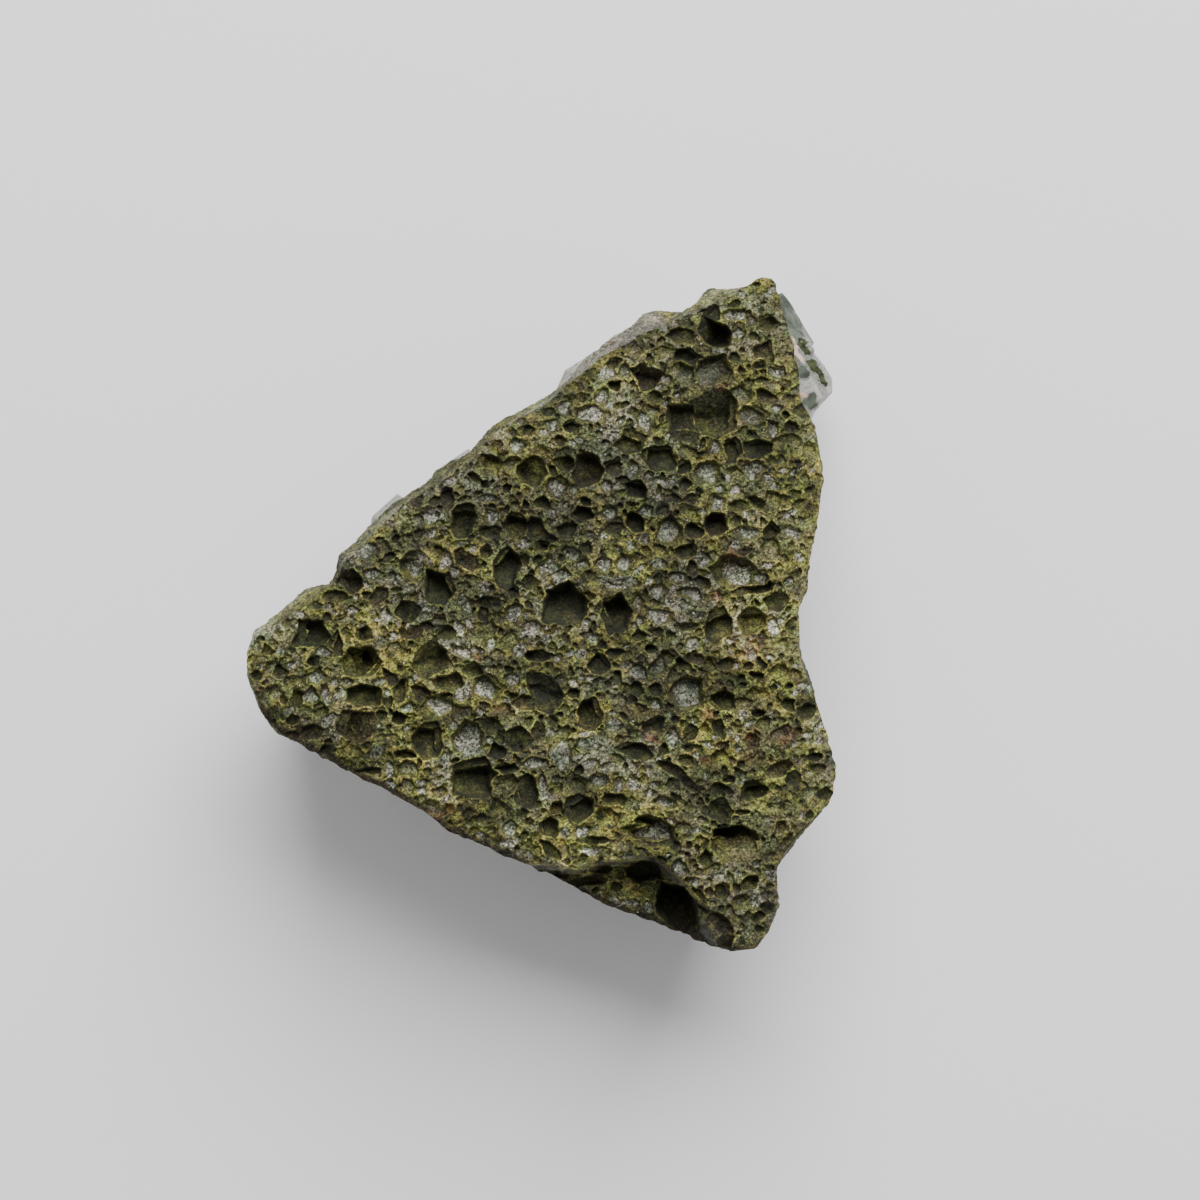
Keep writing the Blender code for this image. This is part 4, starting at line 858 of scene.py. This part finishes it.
def slab_body(grid, finish, quartz_nodes):
    """The slab's sides and underside, finer and rougher than the solid's, up to the face's edge."""
    points, faces, normals = fine_slab()
    away = grid.at(grid.away, points[:, 0], points[:, 1])
    under_face = (away > 1.0) & (points[:, 2] > TOP_OF_SIDES) & (normals[:, 2] > 0.3)
    faces = faces[~under_face[faces].all(axis=1)]
    top = grid.at(grid.lowest_near(4), points[:, 0], points[:, 1])
    rim = (away > -0.8) & (points[:, 2] > TOP_OF_SIDES)
    points[rim, 2] = np.minimum(points[rim, 2], top[rim] - 0.05)

    x, y, z = points.T
    along, across = SIDE_ALONG
    reach = (x - SIDE_FROM[0]) * along + (y - SIDE_FROM[1]) * across
    beside = (y - SIDE_FROM[1]) * along - (x - SIDE_FROM[0]) * across
    swell = SIDE_SWELL * eased_step(reach, 0.0, 5.0) * eased_step(reach, 22.0, 18.0)
    swell *= eased_step(beside, -3.5, -0.5) * eased_step(z, 6.0, 13.0) * eased_step(z, 24.0, 20.5)
    points[:, 0] -= swell * across
    points[:, 1] += swell * along
    rough = 0.34 * rugged_noise(81, 2.2, 4, x, y, z) - 0.30 * np.abs(rugged_noise(86, 1.4, 3, x, y, z))
    grain, value = grains(9, 0.45, x, y, z)
    rough += 0.14 * (value - 0.5) - 0.06 * grain
    near_rim = np.clip((top - z) / 1.5, 0.0, 1.0)
    free = seat_quartz(points, quartz_nodes)
    points += normals * (rough * near_rim * free)[:, None]

    used = np.unique(faces)
    back = np.full(len(points), -1)
    back[used] = np.arange(len(used))
    made = piece("epidote_slab", points[used], back[faces], finish)
    broad = rugged_noise(91, 5.0, 3, x, y, z)
    pink_side = eased_step(reach, 0.0, 2.0) * eased_step(reach, 12.5, 9.5) * eased_step(beside, -1.5, 0.0)
    fields = {
        "grey": np.clip(0.25 + 0.6 * broad + pink_side, 0.0, 1.0),
        "dark": np.clip(0.28 - 0.7 * broad, 0.0, 0.8),
        "brown": np.clip(eased_step(-normals[:, 1], 0.3, 0.8) * (0.5 + broad), 0.0, 0.8),
        "ridge": 0.35 * eased_step(value, 0.6, 0.9) * near_rim,
        "stain": PINK_SIDE * pink_side,
        "pale": broad_tone_and_light(x, y),
    }
    for name, field in fields.items():
        give(made, name, field[used])
    return made


OCTAHEDRON = np.array(((1, 0, 0), (-1, 0, 0), (0, 1, 0), (0, -1, 0), (0, 0, 1), (0, 0, -1)), float)
OCTAHEDRON_FACES = np.array((
    (0, 2, 4), (2, 1, 4), (1, 3, 4), (3, 0, 4), (2, 0, 5), (1, 2, 5), (3, 1, 5), (0, 3, 5),
))
GRAIN_TRIES = 26000
GRAIN_SIZE = (0.04, 0.115)
GRAIN_STRETCH = (0.8, 1.6)


def glittering_grains(grid, finish):
    """Pale grains that stand on the granular floors and, fewer, on the rest of the face."""
    dice = np.random.default_rng(23)
    x, y = dice.uniform(-29.0, 27.5, GRAIN_TRIES), dice.uniform(-32.0, 32.0, GRAIN_TRIES)
    chance = 0.09 + 0.16 * grid.at(grid.tones["grey"], x, y) - grid.at(grid.tones["dark"], x, y)
    kept = (grid.at(grid.away, x, y) > 0.4) & (dice.random(GRAIN_TRIES) < chance)
    x, y = x[kept], y[kept]
    sizes = GRAIN_SIZE[0] + (GRAIN_SIZE[1] - GRAIN_SIZE[0]) * dice.random(len(x)) ** 2
    places = np.stack((x, y, grid.at(grid.height, x, y) + 0.3 * sizes), axis=1)
    return pointed_grains("epidote_glitter", places, sizes, finish)


def pointed_grains(name, places, sizes, finish):
    """Many small pointed grains as one piece, each turned its own way."""
    dice = np.random.default_rng(29)
    count = len(places)
    q = dice.normal(size=(count, 4))
    w, x, y, z = (q / np.linalg.norm(q, axis=1)[:, None]).T
    turns = np.array((
        (1 - 2 * (y * y + z * z), 2 * (x * y - z * w), 2 * (x * z + y * w)),
        (2 * (x * y + z * w), 1 - 2 * (x * x + z * z), 2 * (y * z - x * w)),
        (2 * (x * z - y * w), 2 * (y * z + x * w), 1 - 2 * (x * x + y * y)),
    )).transpose(2, 0, 1)
    sides = np.stack((
        np.ones(count), dice.uniform(0.6, 1.0, count), dice.uniform(*GRAIN_STRETCH, count),
    ), axis=1)
    shapes = OCTAHEDRON[None] * sides[:, None, :] * sizes[:, None, None]
    points = np.einsum("nij,nkj->nki", turns, shapes) + places[:, None, :]
    faces = OCTAHEDRON_FACES[None] + 6 * np.arange(count)[:, None, None]
    return piece(name, points.reshape(-1, 3), faces.reshape(-1, 3), finish, smooth=False)


# What shows on the quartz: x, y and reach of each patch in the face's plane.
GREEN_ON_QUARTZ = (
    (24.5, 26.6, 0.6), (24.9, 26.0, 0.5), (25.4, 24.7, 0.6), (25.8, 24.1, 0.6), (26.2, 23.5, 0.55),
    (26.4, 22.9, 0.4), (24.5, 23.2, 0.25), (24.8, 22.4, 0.25),
)
STAIN_ON_QUARTZ = (
    (23.4, 26.8, 0.35), (23.8, 26.1, 0.4), (24.1, 25.4, 0.35), (24.4, 24.8, 0.3), (24.3, 21.8, 0.35),
    (24.6, 21.4, 0.3), (8.6, 28.3, 0.8), (7.2, 27.4, 0.8), (5.5, 26.4, 0.7),
)
SMOKY_ON_QUARTZ = (
    (22.6, 30.4, 1.6), (23.4, 28.8, 1.2), (23.9, 27.6, 0.8), (24.6, 23.8, 0.6), (25.2, 20.9, 0.8),
)

# The crystal beside the face's top corner reaches further out than its solid, up to an outermost x.
TOP_RIGHT = "quartz_crystal_top_right"
OUTER_SIDE = 0.9
OUTERMOST = 27.45

# How worn the crystals' edges are, and how long a side of a triangle may be, finer where patches show.
WORN_EDGE = 0.12
QUARTZ_DETAIL = {TOP_RIGHT: 0.35, "quartz_crystal_upper_edge": 0.4}
PLAIN_QUARTZ_DETAIL = 1.2


def patches(spots, x, y):
    """How strongly each place belongs to one of some round patches."""
    strength = np.zeros(x.shape)
    for sx, sy, reach in spots:
        strength = np.maximum(strength, np.exp(-((x - sx) ** 2 + (y - sy) ** 2) / reach**2))
    return strength


def worn_crystal(node):
    """A quartz node's mesh with its sharp edges slightly worn, fine enough to carry its patches."""
    mesh = solid_copy(node)
    bmesh.ops.dissolve_limit(mesh, angle_limit=0.02, verts=mesh.verts, edges=mesh.edges)
    sharp = [edge for edge in mesh.edges if edge.calc_face_angle(0.0) > 0.3]
    bmesh.ops.bevel(
        mesh, geom=sharp, offset=WORN_EDGE * MM, offset_type="OFFSET", segments=2, profile=0.5,
        affect="EDGES", clamp_overlap=True,
    )
    bmesh.ops.triangulate(mesh, faces=mesh.faces)
    longest = QUARTZ_DETAIL.get(node, PLAIN_QUARTZ_DETAIL) * MM
    for _ in range(6):
        long = [edge for edge in mesh.edges if edge.calc_length() > longest]
        if not long:
            break
        bmesh.ops.subdivide_edges(mesh, edges=long, cuts=1)
        bmesh.ops.triangulate(mesh, faces=mesh.faces)
    data = bpy.data.meshes.new(node + "_clear")
    mesh.to_mesh(data)
    mesh.free()
    return data


def quartz_piece(node, finish):
    """A quartz node as a piece of the scene, with the patches that its material reads."""
    data = worn_crystal(node)
    data.materials.append(finish)
    made = placed(node + "_clear", data)
    points = vectors_of(data.vertices, "co")
    x, y, z = (points / MM - FACE_MIDDLE).T
    if node == TOP_RIGHT:
        outward = OUTER_SIDE * eased_step(x, 20.5, 22.8) * eased_step(y, 19.8, 22.6)
        lumps = 0.7 * patches(GREEN_ON_QUARTZ, x + OUTER_SIDE, y)
        lumps += 0.12 * rugged_noise(121, 0.8, 2, x, y, z)
        x = np.minimum(x + outward + lumps * eased_step(x, 22.0, 23.5), OUTERMOST)
        points[:, 0] = (x + FACE_MIDDLE[0]) * MM
        data.vertices.foreach_set("co", points.ravel())
    wavy_x = x + 0.5 * rugged_noise(101, 0.9, 3, x, y, z)
    wavy_y = y + 0.5 * rugged_noise(111, 0.9, 3, x, y, z)
    give(made, "green", patches(GREEN_ON_QUARTZ, wavy_x, wavy_y))
    give(made, "stain", patches(STAIN_ON_QUARTZ, wavy_x, wavy_y))
    give(made, "smoky", patches(SMOKY_ON_QUARTZ, wavy_x, wavy_y))
    return made


# Materials: the stone's colours from its dark grains to its pale ones, and the factors by which a speck, a
# grain, a wide blotch and a change of hue vary them.
STONE = {
    "flat": ((0.034, 0.033, 0.007, 1), (0.180, 0.170, 0.040, 1)),
    "sage": ((0.042, 0.043, 0.017, 1), (0.135, 0.132, 0.064, 1)),
    "grey": ((0.085, 0.086, 0.060, 1), (0.215, 0.213, 0.170, 1)),
    # dark: the dark pits' own colour, also used as painted shade on the pit walls and in the black pits.
    "dark": ((0.008, 0.009, 0.0015, 1), (0.036, 0.036, 0.008, 1)),
    "brown": ((0.015, 0.012, 0.004, 1), (0.050, 0.039, 0.014, 1)),
    "rim": ((0.080, 0.077, 0.015, 1), (0.245, 0.232, 0.062, 1)),
}
VARIATION = {
    "speck": ((0.34, 0.352, 0.375, 1), (1.88, 1.93, 1.90, 1)),
    "grain": ((0.62, 0.62, 0.66, 1), (1.36, 1.36, 1.3, 1)),
    "blotch": ((0.52, 0.53, 0.50, 1), (1.32, 1.30, 1.30, 1)),
    "hue": ((0.93, 1.035, 0.91, 1), (1.09, 0.975, 1.03, 1)),
}
ORANGE_RED = (0.34, 0.13, 0.075, 1)

# The quartz's colours, clear and veiled, then pairs from dark to pale.
CLEAR = (0.95, 0.94, 0.91, 1)
VEILED = (0.50, 0.48, 0.42, 1)
GRANULAR_QUARTZ = ((0.15, 0.155, 0.10, 1), (0.36, 0.35, 0.27, 1))
SMOKE = ((0.050, 0.060, 0.046, 1), (0.125, 0.145, 0.115, 1))
MOSS = ((0.012, 0.018, 0.006, 1), (0.06, 0.07, 0.03, 1))
PINK = (0.60, 0.42, 0.33, 1)


def plug(tree, socket, value):
    """Set an input, or link it to the output that it takes its value from."""
    if isinstance(value, bpy.types.NodeSocket):
        tree.links.new(value, socket)
    else:
        socket.default_value = value


def node(tree, kind, inputs=None, **settings):
    """Add a node with its settings, its input values and the outputs that it takes them from."""
    made = tree.nodes.new(kind)
    for name, value in settings.items():
        setattr(made, name, value)
    for name, value in (inputs or {}).items():
        plug(tree, made.inputs[name], value)
    return made


def blend(tree, factor, first, second, way="MIX"):
    """The output of a node that mixes two colours."""
    made = node(tree, "ShaderNodeMix", data_type="RGBA", blend_type=way, clamp_result=False)
    for index, value in ((0, factor), (6, first), (7, second)):
        plug(tree, made.inputs[index], value)
    return made.outputs[2]


def times(tree, colour, factor):
    """A colour multiplied by another."""
    return blend(tree, 1.0, colour, factor, "MULTIPLY")


def ranged(tree, value, low, high, out_low=0.0, out_high=1.0):
    """A value taken smoothly from one range to another."""
    made = node(tree, "ShaderNodeMapRange", {
        "Value": value, "From Min": low, "From Max": high, "To Min": out_low, "To Max": out_high,
    }, interpolation_type="SMOOTHSTEP")
    return made.outputs["Result"]


def maths(tree, operation, first, second=0.0, third=0.0):
    """The result of one sum on values."""
    return node(tree, "ShaderNodeMath", {0: first, 1: second, 2: third}, operation=operation).outputs[0]


def vector_maths(tree, operation, inputs):
    """The result of one sum on vectors."""
    return node(tree, "ShaderNodeVectorMath", inputs, operation=operation).outputs[0]


def attribute(tree, name):
    """A value that the mesh carries."""
    return node(tree, "ShaderNodeAttribute", attribute_name=name).outputs["Fac"]


def noise_at(tree, place, scale, detail=3.0, roughness=0.6):
    """A noise texture's value at a place. Scales are per metre."""
    return node(tree, "ShaderNodeTexNoise", {
        "Vector": place, "Scale": scale, "Detail": detail, "Roughness": roughness,
    }).outputs["Fac"]


def speckled(tree, place, scale):
    """A noise from 0 to 1 that is mostly near its ends."""
    return ranged(tree, noise_at(tree, place, scale), 0.35, 0.65)


def cells_at(tree, place, scale):
    """A cell texture's colour, which is random for each cell, and the colour's red as a value."""
    colour = node(tree, "ShaderNodeTexVoronoi", {"Vector": place, "Scale": scale}).outputs["Color"]
    return colour, node(tree, "ShaderNodeSeparateColor", {"Color": colour}).outputs["Red"]


def new_material(name):
    """A material without nodes yet, its node tree and a texture place on the object."""
    made = bpy.data.materials.new(name)
    made.use_nodes = True
    tree = made.node_tree
    tree.nodes.clear()
    return made, tree, node(tree, "ShaderNodeTexCoord").outputs["Object"]


def surface(tree, inputs):
    """Give a material its one shader."""
    shader = node(tree, "ShaderNodeBsdfPrincipled", inputs)
    tree.links.new(shader.outputs[0], node(tree, "ShaderNodeOutputMaterial").inputs["Surface"])


def epidote_material():
    """Granular epidote: yellow-olive ridges, dark green hollows that are partly painted shade, and grey-green
    glittering floors.
    """
    made, tree, place = new_material("epidote_granular")
    medium = noise_at(tree, place, 900.0)
    fine = noise_at(tree, place, 3200.0, 2.0)
    grain_colour, grain = cells_at(tree, place, 4300.0)
    _, speck = cells_at(tree, place, 7800.0)
    grey, dark = attribute(tree, "grey"), attribute(tree, "dark")

    flat = blend(tree, ranged(tree, medium, 0.35, 0.65), *STONE["flat"])
    sage = blend(tree, ranged(tree, fine, 0.35, 0.65), *STONE["sage"])
    broad = ranged(tree, noise_at(tree, place, 170.0), 0.42, 0.60, 0.0, 0.8)
    colour = blend(tree, broad, flat, sage)
    grey_floor = blend(tree, ranged(tree, grain, 0.1, 0.95), *STONE["grey"])
    colour = blend(tree, ranged(tree, grey, 0.1, 0.75), colour, grey_floor)
    # The dark colour follows the dark field: the stone's dark pits, with the painted shade of the pit walls
    # and black pits.
    hollow = blend(tree, ranged(tree, medium, 0.35, 0.7), *STONE["dark"])
    colour = blend(tree, ranged(tree, dark, 0.0, 0.9), colour, hollow)
    brown = blend(tree, ranged(tree, medium, 0.35, 0.7), *STONE["brown"])
    colour = blend(tree, ranged(tree, attribute(tree, "brown"), 0.1, 0.9), colour, brown)
    rim = blend(tree, ranged(tree, medium, 0.3, 0.7), *STONE["rim"])
    colour = blend(tree, ranged(tree, attribute(tree, "ridge"), 0.05, 0.8, 0.0, 0.9), colour, rim)
    colour = times(tree, colour, blend(tree, speck, *VARIATION["speck"]))
    colour = times(tree, colour, blend(tree, grain, *VARIATION["grain"]))
    blotch = ranged(tree, noise_at(tree, place, 115.0, 2.0), 0.38, 0.62)
    colour = times(tree, colour, blend(tree, blotch, *VARIATION["blotch"]))
    # The broad paler and darker stretches: partly the stone's own tone, partly painted light and shade.
    colour = times(tree, colour, maths(tree, "POWER", 2.0, attribute(tree, "pale")))
    hue = ranged(tree, noise_at(tree, place, 620.0), 0.38, 0.62)
    colour = times(tree, colour, blend(tree, hue, *VARIATION["hue"]))
    stained = maths(tree, "MULTIPLY", attribute(tree, "stain"), ranged(tree, fine, 0.42, 0.62, 0.0, 0.8))
    colour = blend(tree, stained, colour, ORANGE_RED)

    bright = maths(tree, "SUBTRACT", 1.0, dark)
    calm = maths(tree, "MULTIPLY_ADD", grey, -0.45, 0.35)
    tilt = vector_maths(tree, "SUBTRACT", {0: grain_colour, 1: (0.5, 0.5, 0.5)})
    tilt = vector_maths(tree, "SCALE", {0: tilt, "Scale": maths(tree, "MULTIPLY_ADD", bright, 0.7, calm)})
    bump = node(tree, "ShaderNodeBump", {
        "Height": noise_at(tree, place, 2600.0, 4.0, 0.7), "Strength": 0.9, "Distance": 0.00015,
    }).outputs["Normal"]
    normal = vector_maths(tree, "NORMALIZE", {0: vector_maths(tree, "ADD", {0: bump, 1: tilt})})
    dull = maths(tree, "SUBTRACT", 0.86, maths(tree, "MULTIPLY", grey, 0.42))
    shiny = maths(tree, "MULTIPLY", ranged(tree, speck, 0.91, 0.94), bright)
    surface(tree, {
        "Base Color": colour, "Normal": normal, "IOR": 1.73, "Specular IOR Level": 0.24,
        "Roughness": node(tree, "ShaderNodeMix", {0: shiny, 2: dull, 3: 0.2}).outputs[0],
    })
    return made


def grain_material():
    """Pale glassy grains, from grey to nearly white."""
    made, tree, place = new_material("epidote_glitter")
    value = noise_at(tree, place, 1500.0, 1.0)
    pale = ranged(tree, value, 0.35, 0.65)
    surface(tree, {
        "Base Color": blend(tree, pale, (0.12, 0.118, 0.08, 1), (0.50, 0.49, 0.42, 1)),
        "Roughness": ranged(tree, value, 0.3, 0.7, 0.35, 0.18), "IOR": 1.6,
    })
    return made


def quartz_material(name, cloud):
    """Quartz from clear to cloudy, with veils, growth lines, epidote specks and faint stains."""
    made, tree, place = new_material(name)
    veil = ranged(tree, noise_at(tree, place, 260.0, 4.0, 0.65), 0.50, 0.68, cloud, 0.5 + 0.5 * cloud)
    uneven = maths(tree, "SUBTRACT", noise_at(tree, place, 1300.0, 4.0, 0.7), 0.5)
    granular = blend(tree, speckled(tree, place, 2400.0), *GRANULAR_QUARTZ)
    colour = blend(tree, cloud, blend(tree, veil, CLEAR, VEILED), granular)
    smoky = maths(tree, "MULTIPLY_ADD", uneven, 1.0, attribute(tree, "smoky"))
    smoky = ranged(tree, smoky, 0.08, 0.50)
    colour = blend(tree, smoky, colour, blend(tree, speckled(tree, place, 700.0), *SMOKE))
    stained = maths(tree, "MULTIPLY_ADD", uneven, 0.8, attribute(tree, "stain"))
    stained = ranged(tree, stained, 0.2, 0.75)
    colour = blend(tree, stained, colour, PINK)
    green = maths(tree, "MULTIPLY_ADD", uneven, 1.8, attribute(tree, "green"))
    specks = ranged(tree, noise_at(tree, place, 1900.0, 3.0), 0.56, 0.66, 0.0, cloud)
    green = maths(tree, "MAXIMUM", ranged(tree, green, 0.30, 0.62), specks)
    colour = blend(tree, green, colour, blend(tree, speckled(tree, place, 1200.0), *MOSS))
    stretched = node(tree, "ShaderNodeMapping", {"Vector": place, "Scale": (0.25, 3.0, 3.0)}).outputs[0]
    lines = node(tree, "ShaderNodeBump", {
        "Height": noise_at(tree, stretched, 900.0, 2.0), "Strength": 0.25, "Distance": 0.0001,
    }).outputs["Normal"]
    marked = maths(tree, "MAXIMUM", green, maths(tree, "MAXIMUM", stained, smoky))
    cloudy = maths(tree, "MAXIMUM", veil, marked)
    surface(tree, {
        "Base Color": colour, "IOR": 1.544, "Specular IOR Level": 0.15, "Normal": lines,
        "Roughness": ranged(tree, cloudy, 0.0, 1.0, 0.05, 0.8),
        "Transmission Weight": ranged(tree, cloudy, 0.0, 1.0, 1.0, 0.05),
    })
    return made


def floor_material():
    """A matt pale backdrop."""
    made, tree, _ = new_material("backdrop")
    surface(tree, {"Base Color": (0.93, 0.925, 0.94, 1), "Roughness": 0.9})
    return made


# The scene
FLOOR_HALF = 3.0
VIEW_WIDTH = 115.38
VIEW_CENTRE = (4.615, 1.442)
CAMERA_HEIGHT = 700.0
SKY_STRENGTH = 0.44
KEY_PLACE = (0.12, 0.52, 0.56)
KEY_SIZE = 0.65
KEY_POWER = 12.0
KEY_AIM = (0.002, 0.0, 0.02)


def backdrop():
    """The plain floor that the specimen rests on."""
    data = bpy.data.meshes.new("backdrop")
    corners = [(x * FLOOR_HALF, y * FLOOR_HALF, 0) for x, y in ((-1, -1), (1, -1), (1, 1), (-1, 1))]
    data.from_pydata(corners, [], [(0, 1, 2, 3)])
    data.materials.append(floor_material())
    made = placed("backdrop", data)


def camera():
    """The camera, straight above the pitted face."""
    data = bpy.data.cameras.new("camera")
    data.sensor_width = 36.0
    data.lens = data.sensor_width * CAMERA_HEIGHT / VIEW_WIDTH
    made = placed("camera", data)
    centre = np.array((*VIEW_CENTRE, FACE_HEIGHT + CAMERA_HEIGHT)) + FACE_MIDDLE
    made.location = centre * MM
    bpy.context.scene.camera = made


def surroundings():
    """Plain soft studio light, mostly from the top of the picture."""
    world = bpy.data.worlds.new("studio")
    world.use_nodes = True
    background = world.node_tree.nodes["Background"]
    background.inputs["Color"].default_value = (1.0, 1.0, 1.0, 1.0)
    background.inputs["Strength"].default_value = SKY_STRENGTH
    bpy.context.scene.world = world
    data = bpy.data.lights.new("key", "AREA")
    data.size = KEY_SIZE
    data.energy = KEY_POWER
    key = placed("key", data)
    key.location = KEY_PLACE
    key.rotation_euler = (Vector(KEY_AIM) - Vector(KEY_PLACE)).to_track_quat("-Z", "Y").to_euler()


def quartz_finishes(nodes):
    """The material of each quartz node: cloudy along the upper left edge, veiled beside the top corner."""
    clear = quartz_material("quartz_clear", 0.0)
    veiled = quartz_material("quartz_veiled", 0.3)
    cloudy = quartz_material("quartz_cloudy", 0.65)
    return {name: cloudy if "edge" in name else veiled if name == TOP_RIGHT else clear for name in nodes}


grid = FaceGrid()
epidote = epidote_material()
quartz_nodes = sorted(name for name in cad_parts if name.startswith("quartz"))
stone = face_sheets(grid, epidote)
stone.append(rim_skirt(grid, epidote))
stone.append(slab_body(grid, epidote, quartz_nodes))
stone.append(glittering_grains(grid, grain_material()))
for made in stone:
    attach(made, "root")
    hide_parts("epidote_matrix")
for name, finish in quartz_finishes(quartz_nodes).items():
    crystal = quartz_piece(name, finish)
    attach(crystal, "root")
    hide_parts(name)
backdrop()
surroundings()
camera()
